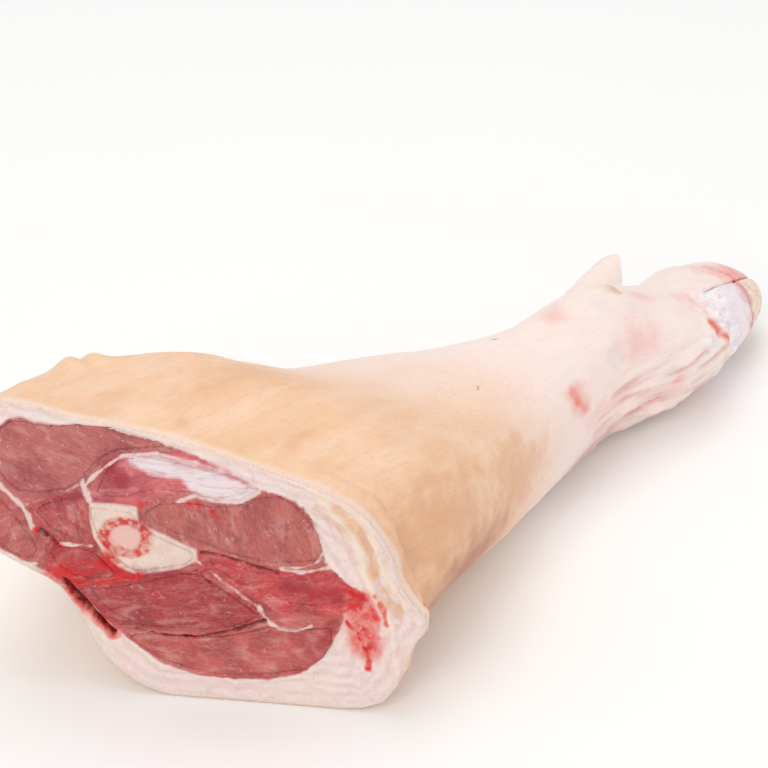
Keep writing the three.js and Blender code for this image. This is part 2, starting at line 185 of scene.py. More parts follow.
def relax(piece, turns, share=None):
    """Smooths the piece, fully where share is 1 and not at all where it is 0."""
    soften = piece.modifiers.new("relax", "SMOOTH")
    soften.factor = 0.5
    soften.iterations = turns
    if share is not None:
        group = piece.vertex_groups.new(name="relax")
        for step in range(1, 11):
            chosen = np.nonzero((share > (step - 1) / 10) & (share <= step / 10))[0]
            group.add([int(k) for k in chosen], step / 10, "REPLACE")
        soften.vertex_group = "relax"
    settle(piece)


def rise(value, start, end):
    """A smooth step from 0 at start to 1 at end, for arrays or numbers."""
    t = np.clip((value - start) / (end - start), 0, 1)
    return t * t * (3 - 2 * t)


def bell(value, width):
    """A soft bump, 1 where value is 0 and fading over width on both sides."""
    return np.exp(-((value / width) ** 2))


def rough(points, size_mm, octaves=2, seed=0):
    """Noise between about -1 and 1, whose lumps are size_mm wide. size_mm may be three sizes."""
    scaled = points / (np.array(size_mm) * MM) + seed * 17.3
    return np.array([noise.fractal(Vector(p), 1.0, 2.0, octaves) for p in scaled])


print("a smooth step:", [round(float(rise(x, 0, 1)), 2) for x in (0, 0.25, 0.5, 0.75, 1)])

# %% [markdown]
# ## The skin
#
# Pork skin is a thick rind that was shaved and scalded. It is smooth on the forearm, it hangs in
# long soft folds under the foot, and where the saw went through, it has shrunk and curled into a
# puckered lip. The CAD solid holds skin, fat and the pockets for the meat in one. Here the flat
# cut is taken off, the pockets drop out, and one new flat face closes the leg again.

# %% The leg without its pockets
FLAT_WITHIN = 0.05
POCKET_REACH = 0.9


def tree_of(node):
    """A CAD node that can be asked for its nearest point and for where a ray meets it."""
    shape = cad_copy(node)
    tree = BVHTree.FromBMesh(shape)
    shape.free()
    return tree


def largest_part(shape):
    """The largest group of joined vertices."""
    left = set(shape.verts)
    groups = []
    while left:
        group = set()
        front = [left.pop()]
        while front:
            vert = front.pop()
            group.add(vert)
            for edge in vert.link_edges:
                other = edge.other_vert(vert)
                if other in left:
                    left.remove(other)
                    front.append(other)
        groups.append(group)
    return max(groups, key=len)


leg_shape = cad_copy("skin_and_fat")
cut_faces = [
    face
    for face in leg_shape.faces
    if all(abs((vert.co - CUT_POINT).dot(OUTWARD)) < FLAT_WITHIN * MM for vert in face.verts)
]
bmesh.ops.delete(leg_shape, geom=cut_faces, context="FACES")
buried = [tree_of(name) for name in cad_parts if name.startswith("muscle_")]
pockets = [
    vert
    for vert in leg_shape.verts
    if any(tree.find_nearest(vert.co, POCKET_REACH * MM)[0] is not None for tree in buried)
]
bmesh.ops.delete(leg_shape, geom=pockets, context="VERTS")
shell = largest_part(leg_shape)
inner = [vert for vert in leg_shape.verts if vert not in shell]
bmesh.ops.delete(leg_shape, geom=inner, context="VERTS")
print("pocket corners dropped:", len(pockets) + len(inner))

# %% [markdown]
# The relief and the colours near the rind follow the rim of the cut. The open shell is sliced a
# millimetre behind the cut, and the largest loop of that slice is the rim.

# %% The rim of the cut
RIM_DEPTH = -1
outline = leg_shape.copy()
sliced = bmesh.ops.bisect_plane(
    outline,
    geom=[*outline.verts, *outline.edges, *outline.faces],
    plane_co=on_cut(0, 0, RIM_DEPTH),
    plane_no=OUTWARD,
)["geom_cut"]
level = {item for item in sliced if isinstance(item, bmesh.types.BMVert)}
bmesh.ops.delete(outline, geom=[v for v in outline.verts if v not in level], context="VERTS")
ring = largest_part(outline)
rim_ends = [vert.co for edge in outline.edges if edge.verts[0] in ring for vert in edge.verts]
rim_u, rim_v, _ = cut_places(np.array(rim_ends))
outline.free()
RIM = np.column_stack((rim_u, rim_v)).reshape(-1, 4)
print("rim:", len(RIM), "runs, from u", round(min(rim_u), 1), "to", round(max(rim_u), 1))

# %% [markdown]
# What is drawn or pressed on the cut asks how far each point lies from an outline, from a path or
# from a muscle. The first two are plain geometry in the plane. The third looks along the depth:
# a ray that meets the solid is inside it, and where it meets it gives the height.

# %% Distances on the cut
def run_distance(u, v, u0, v0, u1, v1):
    """Millimetres to one straight run, which may be a single point."""
    run, climb = u1 - u0, v1 - v0
    t = np.clip(((u - u0) * run + (v - v0) * climb) / max(run**2 + climb**2, 1e-9), 0, 1)
    return np.hypot(u - u0 - t * run, v - v0 - t * climb)


def closed(corners):
    """The straight runs between the corners of a closed outline."""
    return np.column_stack((corners, np.roll(corners, -1, axis=0)))


def outline_distance(u, v, runs):
    """Millimetres from an outline made of straight runs, positive inside it."""
    best = np.full(u.shape, 1e9)
    crossings = np.zeros(u.shape, int)
    for u0, v0, u1, v1 in runs:
        best = np.minimum(best, run_distance(u, v, u0, v0, u1, v1))
        beside = (v0 > v) != (v1 > v)
        crossings += beside & (u < u0 + (v - v0) * (u1 - u0) / ((v1 - v0) or 1e-9))
    return np.where(crossings % 2 == 1, best, -best)


def rim_distance(u, v):
    """Millimetres from the rim of the cut, positive inside it."""
    return outline_distance(u, v, RIM)


def path_distance(u, v, path):
    """Millimetres to a path of straight runs. A path may be a single point."""
    best = np.full(u.shape, 1e9)
    for start, end in zip(path[:1] + path, path):
        best = np.minimum(best, run_distance(u, v, *start, *end))
    return best


PROBE_BELOW, PROBE_AHEAD, PROBE_REACH = 4, 3, 8


def meat_shape(node, points):
    """Millimetres from points on the cut to a node's outline, negative inside, and its height."""
    tree = tree_of(node)
    away, height = np.zeros(len(points)), np.zeros(len(points))
    below, ahead = -PROBE_BELOW * MM * OUTWARD, PROBE_AHEAD * MM * OUTWARD
    for k, point in enumerate(points):
        probe = Vector(point) + below
        reach = tree.ray_cast(probe, OUTWARD, PROBE_REACH * MM)[3]
        away[k] = tree.find_nearest(probe)[3] / MM * (1 if reach is None else -1)
        if reach is None:
            height[k] = (tree.find_nearest(Vector(point) + ahead)[0] - CUT_POINT).dot(OUTWARD) / MM
        else:
            height[k] = reach / MM - PROBE_BELOW
    return away, height


def edge_height(points):
    """How far the solid's edge stands in front of the cut, in millimetres, over each point."""
    tree = tree_of("skin_and_fat")
    start = PROBE_REACH * MM
    found = np.zeros(len(points))
    for k, point in enumerate(points):
        hit = tree.ray_cast(Vector(point) + OUTWARD * start, -OUTWARD, 2 * start)[3]
        found[k] = 0 if hit is None else max(0.0, (start - hit) / MM)
    return found


middle = rim_distance(*(np.array([place]) for place in CUT_POINT_UV))[0]
print("the middle of the cut lies", round(middle, 1), "mm inside the rim")

# %% [markdown]
# Two slits gape between the meat and the rind. They are pressed into the sheet of fat further on,
# so here their walls are dropped as the pockets were, and one face closes the leg.

# %% One closed leg
SLITS = (
    # depth and path in millimetres
    (3.6, ((-93.5, 51.5), (-88, 45), (-81, 36.5), (-74, 28.5))),
    (1.6, ((-102.5, 74.3), (-98, 71))),
)
SLIT_REACH = 3.2
SLIT_BOTTOM = -12.5
RIND_KEPT = 1.8

corners = np.array([vert.co for vert in leg_shape.verts])
u, v, depth = cut_places(corners)
in_slit = np.minimum(*(path_distance(u, v, path) for _, path in SLITS)) < SLIT_REACH
away_from_rind = rim_distance(u, v) > RIND_KEPT
dropped = np.nonzero(in_slit & (depth > SLIT_BOTTOM) & away_from_rind)[0]
leg_shape.verts.ensure_lookup_table()
bmesh.ops.delete(leg_shape, geom=[leg_shape.verts[k] for k in dropped], context="VERTS")
open_edges = [edge for edge in leg_shape.edges if edge.is_boundary]
closing = bmesh.ops.edgeloop_fill(leg_shape, edges=open_edges)["faces"]
bmesh.ops.recalc_face_normals(leg_shape, faces=leg_shape.faces)
print("slit corners:", len(dropped), "closing faces:", [len(face.verts) for face in closing])

# %% [markdown]
# The new faces of the skin are 1.25 mm wide. The rim is left sharp while the rest is relaxed, then
# the flat end is pushed back, which leaves the rind standing as a wall round the fat.

# %% Skin with even faces
SKIN_FACE = 1.25
RELAX_TURNS = 24
RECESS = 12.0
WALL = 2.3

skin = new_piece("skin", leg_shape, "skin_and_fat")
remesh(skin, SKIN_FACE)
depth = cut_places(points_of(skin))[2]
relax(skin, RELAX_TURNS, rise(-depth, 3, 14))

points = points_of(skin)
u, v, depth = cut_places(points)
inside = rim_distance(u, v)
pushed = RECESS * rise(inside, WALL - 0.3, WALL + 0.3) * rise(depth, -1.2, -0.4)
points -= np.outer(pushed * MM, np.array(OUTWARD))
place_points(skin, points)
print("skin:", len(skin.data.polygons), "faces")

# %% [markdown]
# ## Folds, puckers and small marks
#
# Each kind of relief is one short function that says how far the skin rises, in millimetres, and
# where. Adding them up and moving every point along its normal is the coded form of sculpting.
# The folds follow the leg, because loose skin wrinkles along the way it is pulled.

# %% Relief of the skin
FOLDS_FROM = 0.070
LIP_DEPTH = 26


def fold_relief(points):
    """Long folds on the lower front of the foot."""
    x, y, z = points.T
    share = rise(x, FOLDS_FROM - 0.03, FOLDS_FROM + 0.03) * rise(-y, 0.012, 0.032)
    share *= rise(-z, -0.056, -0.034) * (1 - 0.45 * rise(x, 0.125, 0.150))
    return share * 3.6 * rough(points, (36, 8, 4.2), 3, seed=1)


def torn_relief(points):
    """Crumpled skin where it was torn off round the near toe."""
    x, y, z = points.T
    share = rise(x, 0.138, 0.156) * rise(-y, 0.006, 0.022)
    return share * 1.4 * rough(points, (9, 6, 5), 2, seed=2)


def pucker_relief(u, v, depth, points):
    """Ridges that run back from the lip, on the side where the skin has curled."""
    share = rise(u, -10, 25) * rise(-depth, 1, 5) * rise(depth, -LIP_DEPTH - 12, -8)
    across = rough(points, (12, 12, 9), 2, seed=3)
    return share * (1.3 * across + 0.9 * np.sin(depth * 0.55 + 4 * rough(points, 30, 1, seed=6)))


def plain_relief(points):
    """The slight unevenness of all skin."""
    return 0.22 * rough(points, (11, 6, 6), 2, seed=4) + 0.8 * rough(points, 34, 1, seed=5)


def dent(points, centre_mm, size_mm, height):
    """A soft bump, or a hollow where height is negative."""
    away = np.linalg.norm((points / MM - np.array(centre_mm)) / np.array(size_mm), axis=1)
    return height * bell(away, 1)


print("folds start at", FOLDS_FROM, "m and the lip runs back", LIP_DEPTH, "mm")

# %% [markdown]
# Small marks all have the same form: a soft bump or hollow with a place, a size along each axis
# and a height. A table holds them, so that each can be found by its name.

# %% Marks in the skin
MARKS = {
    # centre and size in millimetres, and height
    "cut on the shank": ((43, -40, 54), (3.5, 4, 2.2), -1.0),
    "upper end of the cut": ((40, -38, 59), (2.5, 3, 2.5), -0.7),
    "lower end of the cut": ((47, -41, 49), (2.5, 3, 2.5), -0.7),
    "stub of the lost dewclaw": ((102, -5, 73.5), (8, 5, 5), 3.2),
    "slit in the stub": ((104, -9, 72.5), (4, 1.8, 2), -1.3),
    "swelling beside it": ((92, -8, 75), (12, 9, 9), 0.8),
    "first swelling behind the cut": ((-167, 60, 122), (6, 7, 7), 4.0),
    "second swelling behind the cut": ((-155, 60, 121), (5, 7, 7), 3.0),
    "crease between the swellings": ((-161, 57, 123), (2, 8, 5), -1.0),
    "nick at the near toe": ((156, -37, 41), (5, 3.5, 3.5), -1.9),
    "slit above the near toe": ((146, -25, 54), (3, 1.6, 4), -1.1),
    "crease under the foot": ((90, -34, 23), (14, 5, 3), -1.6),
}
print("marks in the skin:", len(MARKS))

# %% [markdown]
# The dewclaw has lost its horn, and ends in a flat slanting face. Its tip is drawn out along one
# direction, and what then stands beyond the plane of the face is pressed back onto it.

# %% Dewclaw
DEWCLAW_TIP = np.array((0.141, 0.024, 0.061))
DEWCLAW_PULL = np.array((0.66, -0.30, 0.69))
DEWCLAW_FACE = np.array((0.70, -0.70, 0.10)) / np.linalg.norm((0.70, -0.70, 0.10))
DEWCLAW_CUT = np.array((0.1435, 0.0185, 0.056))
DEWCLAW_RISE, DEWCLAW_WIDTH = 4.5, 8.5
DEWCLAW_REACH = 0.018
DEWCLAW_BEHIND = 0.011


def shape_dewclaw(points):
    """Draws the dewclaw out to a point and slices its end off flat, where the horn came away."""
    from_tip = np.linalg.norm(points - DEWCLAW_TIP, axis=1)
    pull = DEWCLAW_RISE * bell(from_tip / MM, DEWCLAW_WIDTH)
    points = points + np.outer(pull * MM, DEWCLAW_PULL)
    beyond = (points - DEWCLAW_CUT) @ DEWCLAW_FACE
    near = np.linalg.norm(points - DEWCLAW_TIP, axis=1) < DEWCLAW_REACH
    near &= points[:, 1] > DEWCLAW_BEHIND
    return points - np.outer(np.where(near, np.maximum(beyond, 0), 0), DEWCLAW_FACE)


print("dewclaw face towards", DEWCLAW_FACE.round(2))

# %% [markdown]
# All reliefs are added, faded out at the cut and on the floor, and every point is moved along its
# normal. Flat stretches don't need faces as fine as the folds do, so a Decimate modifier then
# merges the ones that carry no shape.

# %% Adding up the relief
SKIN_KEPT = 0.66

points = points_of(skin)
u, v, depth = cut_places(points)
folds = fold_relief(points)
torn = torn_relief(points)
lift = folds + torn + plain_relief(points) + 0.45 * rise(points[:, 0], 0.155, 0.163)
lift += pucker_relief(u, v, depth, points)
for name, (centre, size, height) in MARKS.items():
    lift += dent(points, centre, size, height)
lift *= rise(-depth, 0.5, 3) * rise(points[:, 2], 0.0, 0.004)
points += normals_of(skin) * lift[:, None] * MM
low, high = (np.array(corner) for corner in cad_box)
place_points(skin, np.clip(shape_dewclaw(points), low, high))
store(skin, {"fold": folds + torn})
fewer = skin.modifiers.new("fewer faces", "DECIMATE")
fewer.ratio = SKIN_KEPT
settle(skin)
print("skin keeps", len(skin.data.polygons), "faces")
print("skin relief from", round(lift.min(), 2), "to", round(lift.max(), 2), "mm")

# %% [markdown]
# ## What is drawn on the cut
#
# Blood, white tissue and dark clefts cross from one muscle to the next, so they belong to the cut
# and not to one piece. The dark red of the clefts and slits is painted shade, where they sink in.
# Each is named once, as brush strokes in millimetres on the cut. A stroke is a strength, a half
# width and a path. Every piece that shows at the cut then asks how strongly each kind of stroke
# reaches it, both for its colour and for its relief.

# %% Outlines and strokes
MEAT_EDGE = (
    (-125, 103), (-122, 116), (-117, 121), (-113, 125), (-108, 126), (-102, 124), (-90, 124),
    (-82, 126), (-69, 122.5), (-53, 119), (-37, 114), (-26, 109), (-18, 105), (-11.5, 101),
    (-5, 99.5), (3, 96.5), (9, 89.5), (12, 81), (15, 69.5), (20, 64.5), (26, 59), (31.5, 56.5),
    (30.5, 51), (22.5, 46.5), (21.5, 41), (18, 33), (13.5, 24), (5.5, 17), (-8.5, 12.5), (-24, 11.5),
    (-39.5, 12), (-53.5, 16.5), (-65, 25), (-72, 30), (-78, 36), (-86, 45), (-92.5, 51.5),
    (-98.5, 53), (-103, 57), (-113.5, 58), (-120.5, 59), (-127.5, 64), (-136, 76), (-137, 90),
)
BONE_EDGE = (
    (-81.5, 89.5), (-72.5, 89.5), (-62, 89), (-61.5, 82.5), (-57, 80), (-47.5, 76), (-38, 71.5),
    (-37.5, 66.5), (-45.5, 62), (-62, 57.5), (-70, 60), (-76.5, 65.5), (-80.5, 73), (-81.5, 81),
)
TENDON_EDGE = (
    (-68, 112), (-53.5, 114), (-37.5, 111.5), (-24, 107.5), (-15, 103.5), (-11.5, 100.5),
    (-19.5, 94.5), (-31, 95), (-39, 97.5), (-44.5, 102.5), (-49, 103), (-58, 104), (-65, 108),
)
MARROW_CENTRE, MARROW_SIZE = (-67.0, 74.6), (10.6, 8.4)

STROKES = {
    "blood": (
        (1.0, 4.5, ((-75.5, 62.5), (-71, 58))),
        (1.0, 2.2, ((-88, 52), (-80, 52.5), (-73, 54.5), (-63, 57))),
        (0.65, 6.5, ((-96, 56), (-80, 58))),
        (0.70, 2.7, SLITS[0][1]),
        (0.75, 1.7, ((-103.5, 75), (-95, 69))),
        (0.85, 2.4, ((23, 57), (31, 54))),
        (0.8, 1.6, ((30, 55), (28.5, 49), (29, 43))),
        (0.9, 1.3, ((24, 42), (28, 38), (31, 30))),
        (0.75, 1.3, ((30, 42), (33, 34), (33, 22))),
        (0.6, 1.0, ((31, 53), (36, 46), (37, 36))),
        (0.5, 0.9, ((35, 57), (39, 49), (40, 43))),
        (0.65, 6.5, ((28, 51), (32, 32))),
        (0.4, 3.5, ((4, 56), (16, 55))),
        (0.7, 1.9, ((-40, 92.5), (-37, 92.5))),
        (0.8, 1.6, ((-31, 90), (-29, 86.5))),
        (0.5, 1.3, ((-62, 89.5), (-56, 91))),
    ),
    "crimson": (
        (0.9, 5.0, ((-72, 105), (-68, 101))),
        (0.75, 4.0, ((-97, 91), (-87, 92))),
        (0.8, 4.5, ((0, 57), (20, 55))),
        (0.8, 4.0, ((18, 40), (13, 31))),
        (0.6, 3.5, ((2, 36), (10, 26))),
        (0.5, 7.0, ((-82, 58), (-94, 62))),
        (0.6, 5.0, ((-64, 57), (-45, 59))),
        (0.5, 4.0, ((-88, 47), (-78, 40))),
        (0.45, 2.5, ((-60, 28), (-40, 26))),
    ),
    "white": (
        (1.0, 1.64, ((-127, 104), (-120, 95.5), (-115, 91.5), (-110, 86))),
        (1.0, 0.94, ((-110, 86), (-107, 81), (-105.5, 76))),
        (0.9, 0.7, ((-105.5, 76), (-99, 71), (-93, 69.5), (-81, 69))),
        (0.55, 0.5, ((-108, 86.5), (-101, 89), (-92, 93), (-85, 98))),
        (1.0, 1.4, ((-84, 99), (-83, 95), (-81.5, 90))),
        (0.9, 0.7, ((-83, 97), (-80, 101), (-72, 108), (-67, 112), (-53, 114), (-37.5, 111.5))),
        (0.6, 0.7, ((-37.5, 111.5), (-24, 107.5), (-15, 103.5))),
        (0.9, 1.17, ((-12, 100), (-19.5, 95), (-29, 94.5), (-38, 96.5), (-45, 93))),
        (0.85, 0.7, ((14.5, 75), (11, 69.5), (5.5, 67), (-4, 66))),
        (0.8, 0.94, ((-3, 65), (5.5, 64.5), (17, 67.5))),
        (0.7, 0.62, ((-38, 66), (-29, 59), (-20, 52), (-12.5, 46.5))),
        (0.8, 0.94, ((-12.5, 46.5), (-9.5, 41), (-4, 37.5), (3, 37), (9, 40))),
        (0.8, 1.09, ((-127, 64), (-120.5, 60), (-113.5, 58.5), (-105, 59))),
        (0.6, 0.55, ((-117, 82), (-113, 70.5))),
        (0.5, 0.47, ((-88.5, 112), (-87.5, 108), (-83.5, 101))),
        (0.45, 0.47, ((-116, 118), (-119, 110), (-116, 102))),
    ),
    # dark: painted shade in the clefts and in the open slit, and a sunken line in the relief
    "dark": (
        (1.0, 0.7, ((-64, 32), (-51, 30), (-37, 30.5), (-24, 34.5), (-10, 40.5))),
        (1.0, 0.7, ((-36, 70), (-27, 69), (-18, 66.5), (-5, 63))),
        (1.0, 1.0, ((-102.5, 74.3), (-96, 69.5))),
        (0.45, 0.55, ((-65, 44), (-55, 43.5), (-46, 44))),
        (0.6, 0.55, ((-38, 62), (-31.5, 55), (-21, 50))),
        (1.0, 1.35, SLITS[0][1]),
        (0.6, 0.55, ((5.5, 94), (11, 86))),
        (0.5, 0.47, ((-7, 84.5), (-6.5, 79.5))),
        (0.5, 0.47, ((-1.5, 87.5), (-1, 79.5))),
        (0.4, 1.17, ((-4, 31), (3, 35.5), (10, 39), (19, 42))),
    ),
    "ridge": (
        (1.0, 1.8, ((9, 103), (23, 96), (32, 86.5), (36.5, 75.5), (39, 65), (46, 56), (52, 46))),
        (0.8, 2.0, ((14, 97), (24, 88), (29, 77), (31.5, 67), (35, 55), (41, 47))),
        (0.5, 1.6, ((41, 45), (43, 34), (44, 22))),
    ),
    # valley: the hollows between the lip's folds, sunk in the relief and painted ochre as shade
    "valley": (
        (1.0, 1.6, ((19, 94), (28, 85), (33, 75), (35, 65), (40, 55), (46, 48))),
        (0.5, 1.4, ((12, 93), (21, 84), (25, 75))),
        (0.6, 1.5, ((-97, 52), (-94, 50.5))),
    ),
}
print("strokes:", {kind: len(strokes) for kind, strokes in STROKES.items()})

# %% [markdown]
# A stroke with a clean edge looks drawn with a ruler. So noise shifts the distance to its path,
# more for blood that has run than for the crisp white seams.

# %% How strongly a stroke reaches a point
STROKE_WANDER = {
    "blood": 0.7,
    "crimson": 0.9,
    "white": 0.3,
    "dark": 0.3,
    "ridge": 0.8,
    "valley": 0.8,
}


def stroke_values(points):
    """How strongly each kind of stroke reaches each point, from 0 to 1."""
    u, v, _ = cut_places(points)
    wander = rough(points, 6, 3, 31) * 2.4
    values = {}
    for kind, strokes in STROKES.items():
        reach = np.zeros(u.shape)
        for strength, width, path in strokes:
            away = path_distance(u, v, path) + STROKE_WANDER[kind] * wander
            reach = np.maximum(reach, strength * bell(np.maximum(away, 0), width))
        values[kind] = reach
    around = np.hypot((u - MARROW_CENTRE[0]) / MARROW_SIZE[0], (v - MARROW_CENTRE[1]) / MARROW_SIZE[1])
    values["marrow"] = around + 0.05 * wander
    values["bone"] = rise(outline_distance(u, v, closed(BONE_EDGE)), -0.5, 0.6)
    values["tendon"] = rise(outline_distance(u, v, closed(TENDON_EDGE)) + 0.6 * wander, -3, 4)
    return values


reached = stroke_values(np.array([on_cut(*MARROW_CENTRE)]))
print("strokes in the middle of the marrow:", {kind: round(x[0], 2) for kind, x in reached.items()})

# %% [markdown]
# ## The meat
#
# Nine muscles show at the cut. Each keeps the long shape that the CAD gave it. One relief runs
# over all their cut ends, so that they read as one piece of meat: it swells gently, it has the
# cobbled texture of fibre bundles, it sinks along the dark clefts and rises along white tissue.

# %% Muscles
MEAT_FACE = 0.9
MUSCLES = (
    "muscle_top_left",
    "muscle_left_lobe",
    "muscle_mid_left",
    "muscle_top_centre",
    "muscle_right",
    "muscle_low_left",
    "muscle_low_centre",
    "muscle_right_band",
    "muscle_bottom",
)


def flattened(depth):
    """Presses what stands in front of the cut, because the saw leaves the meat nearly level."""
    return np.where(depth > 0.6, 0.6 + 0.35 * (depth - 0.6), depth)


def swelling(points):
    """The gentle unevenness that runs over the whole cut."""
    return 0.9 * rough(points, 26, 2, 7)


def flesh_relief(points, values):
    """Bundles of fibres and fine clefts, with the strokes pressed in or raised."""
    bundles = 0.30 * rough(points, 3.4, 3, 8)
    clefts = -0.35 * bell(rough(points, (13, 13, 8), 3, 9), 0.06)
    drawn = 0.35 * values["white"] - 1.3 * values["dark"] + 0.4 * values["tendon"]
    return swelling(points) + bundles + clefts + drawn


def cut_solid(node, face_mm, turns, relief, grow):
    """A solid that shows at the cut, a little grown, with relief on its cut end."""
    piece = new_piece(node + "_flesh", cad_copy(node), node)
    remesh(piece, face_mm)
    relax(piece, turns)
    points = points_of(piece) + normals_of(piece) * grow * MM
    depth = cut_places(points)[2]
    flat = points - np.outer(depth * MM, np.array(OUTWARD))
    values = stroke_values(flat)
    shown = rise(depth, -1.2, -0.2) * rise(normals_of(piece) @ np.array(OUTWARD), 0.0, 0.5)
    lift = flattened(depth) - depth + relief(flat, values) * shown
    points += np.outer(lift * MM, np.array(OUTWARD))
    place_points(piece, points)
    store(piece, values)
    return piece


flesh = {node: cut_solid(node, MEAT_FACE, 4, flesh_relief, grow=0.3) for node in MUSCLES}
print("muscles:", {name: len(piece.data.polygons) for name, piece in flesh.items()})

# %% [markdown]
# ## Bone and marrow
#
# The saw leaves the hard ring of the bone flat and finely scored, and smears the soft marrow
# inside it. Both are cut solids like the muscles, with a relief of their own.

# %% Bone
def saw_relief(points, values):
    """Fine scores from the teeth of the saw."""
    u, v, _ = cut_places(points)
    scored = 0.07 * np.sin(u * 2.1 + v * 0.6 + rough(points, 9, 1, 61))
    return 0.2 + swelling(points) + scored + 0.2 * rough(points, 5, 2, 62)


def marrow_relief(points, values):
    """The sawn surface, smeared a little higher."""
    return 0.25 + saw_relief(points, values) + 0.2 * rough(points, 3, 2, 63)


bone = cut_solid("humerus", 0.9, 3, saw_relief, grow=0.35)
marrow = cut_solid("marrow", 0.8, 3, marrow_relief, grow=0.6)
print("bone:", len(bone.data.polygons), "marrow:", len(marrow.data.polygons), "faces")

# %% [markdown]
# ## Fat and seams
#
# Everything between the muscles is one sheet. A fine grid is laid on the cut and trimmed to the
# rim. Its edge is then extruded into the leg and drawn in, so that it stays inside the rind, and
# one face closes it behind.

# %% Sheet of fat
FAT_FACE = 0.6
FAT_THICK = 7.0
FAT_DRAWN_IN = 0.92
SHEET_INSET = 0.12
GRID_SPARE = 4

wide = max(rim_u) - min(rim_u) + GRID_SPARE
tall = max(rim_v) - min(rim_v) + GRID_SPARE
middle_u = (max(rim_u) + min(rim_u)) / 2
middle_v = (max(rim_v) + min(rim_v)) / 2

fat_shape = bmesh.new()
bmesh.ops.create_grid(
    fat_shape, x_segments=round(wide / FAT_FACE), y_segments=round(tall / FAT_FACE), size=0.5
)
for vert in fat_shape.verts:
    vert.co = on_cut(middle_u + vert.co.x * wide, middle_v + vert.co.y * tall)
u, v, _ = cut_places(np.array([vert.co for vert in fat_shape.verts]))
outside = np.nonzero(rim_distance(u, v) < SHEET_INSET)[0]
fat_shape.verts.ensure_lookup_table()
bmesh.ops.delete(fat_shape, geom=[fat_shape.verts[k] for k in outside], context="VERTS")
trimmed = [edge for edge in fat_shape.edges if edge.is_boundary]
skirt = bmesh.ops.extrude_edge_only(fat_shape, edges=trimmed)["geom"]
skirt_verts = [item for item in skirt if isinstance(item, bmesh.types.BMVert)]
bmesh.ops.translate(fat_shape, verts=skirt_verts, vec=-OUTWARD * FAT_THICK * MM)
about = Matrix.Translation(-on_cut(middle_u, middle_v, -FAT_THICK))
bmesh.ops.scale(fat_shape, verts=skirt_verts, vec=(FAT_DRAWN_IN,) * 3, space=about)
lower_verts = set(skirt_verts)
skirt_edges = [item for item in skirt if isinstance(item, bmesh.types.BMEdge)]
lower_edges = [edge for edge in skirt_edges if lower_verts.issuperset(edge.verts)]
bmesh.ops.contextual_create(fat_shape, geom=lower_edges)
bmesh.ops.recalc_face_normals(fat_shape, faces=fat_shape.faces)
fat = new_piece("fat", fat_shape, "skin_and_fat")
fat.data.shade_smooth()
print("fat:", len(fat.data.polygons), "faces")

# %% [markdown]
# Each point of the sheet needs to know whether it lies in the meat or in the fat, and which
# solids are nearest to it. Only the points on top are measured, as the skirt isn't shaped.

# %% Meat and fat on the sheet
RIND_AND_FAT = 2.6

points = points_of(fat)
u, v, depth = cut_places(points)
values = stroke_values(points)
inside = rim_distance(u, v)
in_meat = outline_distance(u, v, closed(MEAT_EDGE))
in_meat = np.minimum(in_meat, inside - RIND_AND_FAT) + 0.5 * rough(points, 3, 3, 75)
meat = rise(in_meat, -0.5, 0.6)

on_top = np.nonzero(depth > -1)[0]
shapes = np.zeros((len(MUSCLES) + 2, 2, len(points)))
for row, node in enumerate([*MUSCLES, "humerus", "marrow"]):
    shapes[row][:, on_top] = meat_shape(node, points[on_top])
to_muscles = shapes[: len(MUSCLES), 0]
to_meat = shapes[:, 0].min(axis=0)


def nearness(distances):
    """Shares that add up to 1, of the solids that lie nearest to each point."""
    near = np.exp(-np.maximum(distances, 0))
    return near / (near.sum(axis=0) + 1e-9)


print("share of the sheet that is meat:", round(meat[on_top].mean(), 2))

# %% [markdown]
# Between the muscles the sheet carries on the meat, with the same relief and just above it, so
# that no gaps show. Over a muscle it dives out of sight. Outside the meat it is soft fat in
# layers, it meets the raised edge of the rind, and at the front it is folded into a lip, where
# the skin has shrunk over the cut.

# %% Relief of the sheet
SEAM_RISE = 0.15
DIVE = 2.2
RIM_DROP = 0.5
SLIT_WIDTH = 0.75

near_all = nearness(shapes[:, 0])
bony = near_all[len(MUSCLES) :].sum(axis=0)
base = (near_all * flattened(shapes[:, 1])).sum(axis=0)
base *= np.maximum(rise(in_meat, -9, 0.5), rise(-to_meat, -2, 0))
fleshy = (1 - bony) * flesh_relief(points, values) + bony * saw_relief(points, values)

rind = np.where((depth > -1) & (inside < 6), edge_height(points), 0)
layers = 0.30 * np.sin(inside * 1.5 + 5 * rough(points, 20, 2, 71)) * rise(inside, 2, 5)
soft = 1.3 * rough(points, 15, 2, 72) + 0.25 * rough(points, 3, 2, 73)
folds = 2.2 * values["ridge"] - 2.0 * values["valley"] + 0.4 * rough(points, (3, 3, 9), 2, 74)
lip = np.maximum(values["ridge"], values["valley"])
fatty = layers + soft + folds * rise(lip, 0.02, 0.3) - 1.3 * values["dark"]

height = meat * fleshy + (1 - meat) * fatty * rise(inside, 1, 4)
height += np.maximum(base, rind * (1 - meat * rise(inside, 2, 5)))
height += SEAM_RISE - 0.5 * rise(-to_meat, -0.5, 3) + 0.15 * bell(inside - 1.6, 1.0)
height -= (DIVE + height) * rise(-to_meat, 2.5, 4.5)
height -= RIM_DROP * (1 - rise(inside, SHEET_INSET, SHEET_INSET + 0.8))
for drop, path in SLITS:
    height -= drop * bell(np.maximum(path_distance(u, v, path) - 0.2, 0), SLIT_WIDTH)
points += np.outer(height * rise(depth, -1.0, -0.2) * MM, np.array(OUTWARD))
place_points(fat, points)
print("sheet relief from", round(height.min(), 2), "to", round(height.max(), 2), "mm")

# %% [markdown]
# ## Toes
#
# The hoofs have been pulled off. Each toe shows its pink quick, and the near one keeps a narrow
# rim of pale horn round its tip. A toe is remeshed like the muscles. Its base is drawn back into
# the foot and roughened, so that skin and toe meet in a torn edge and not in a clean ring.

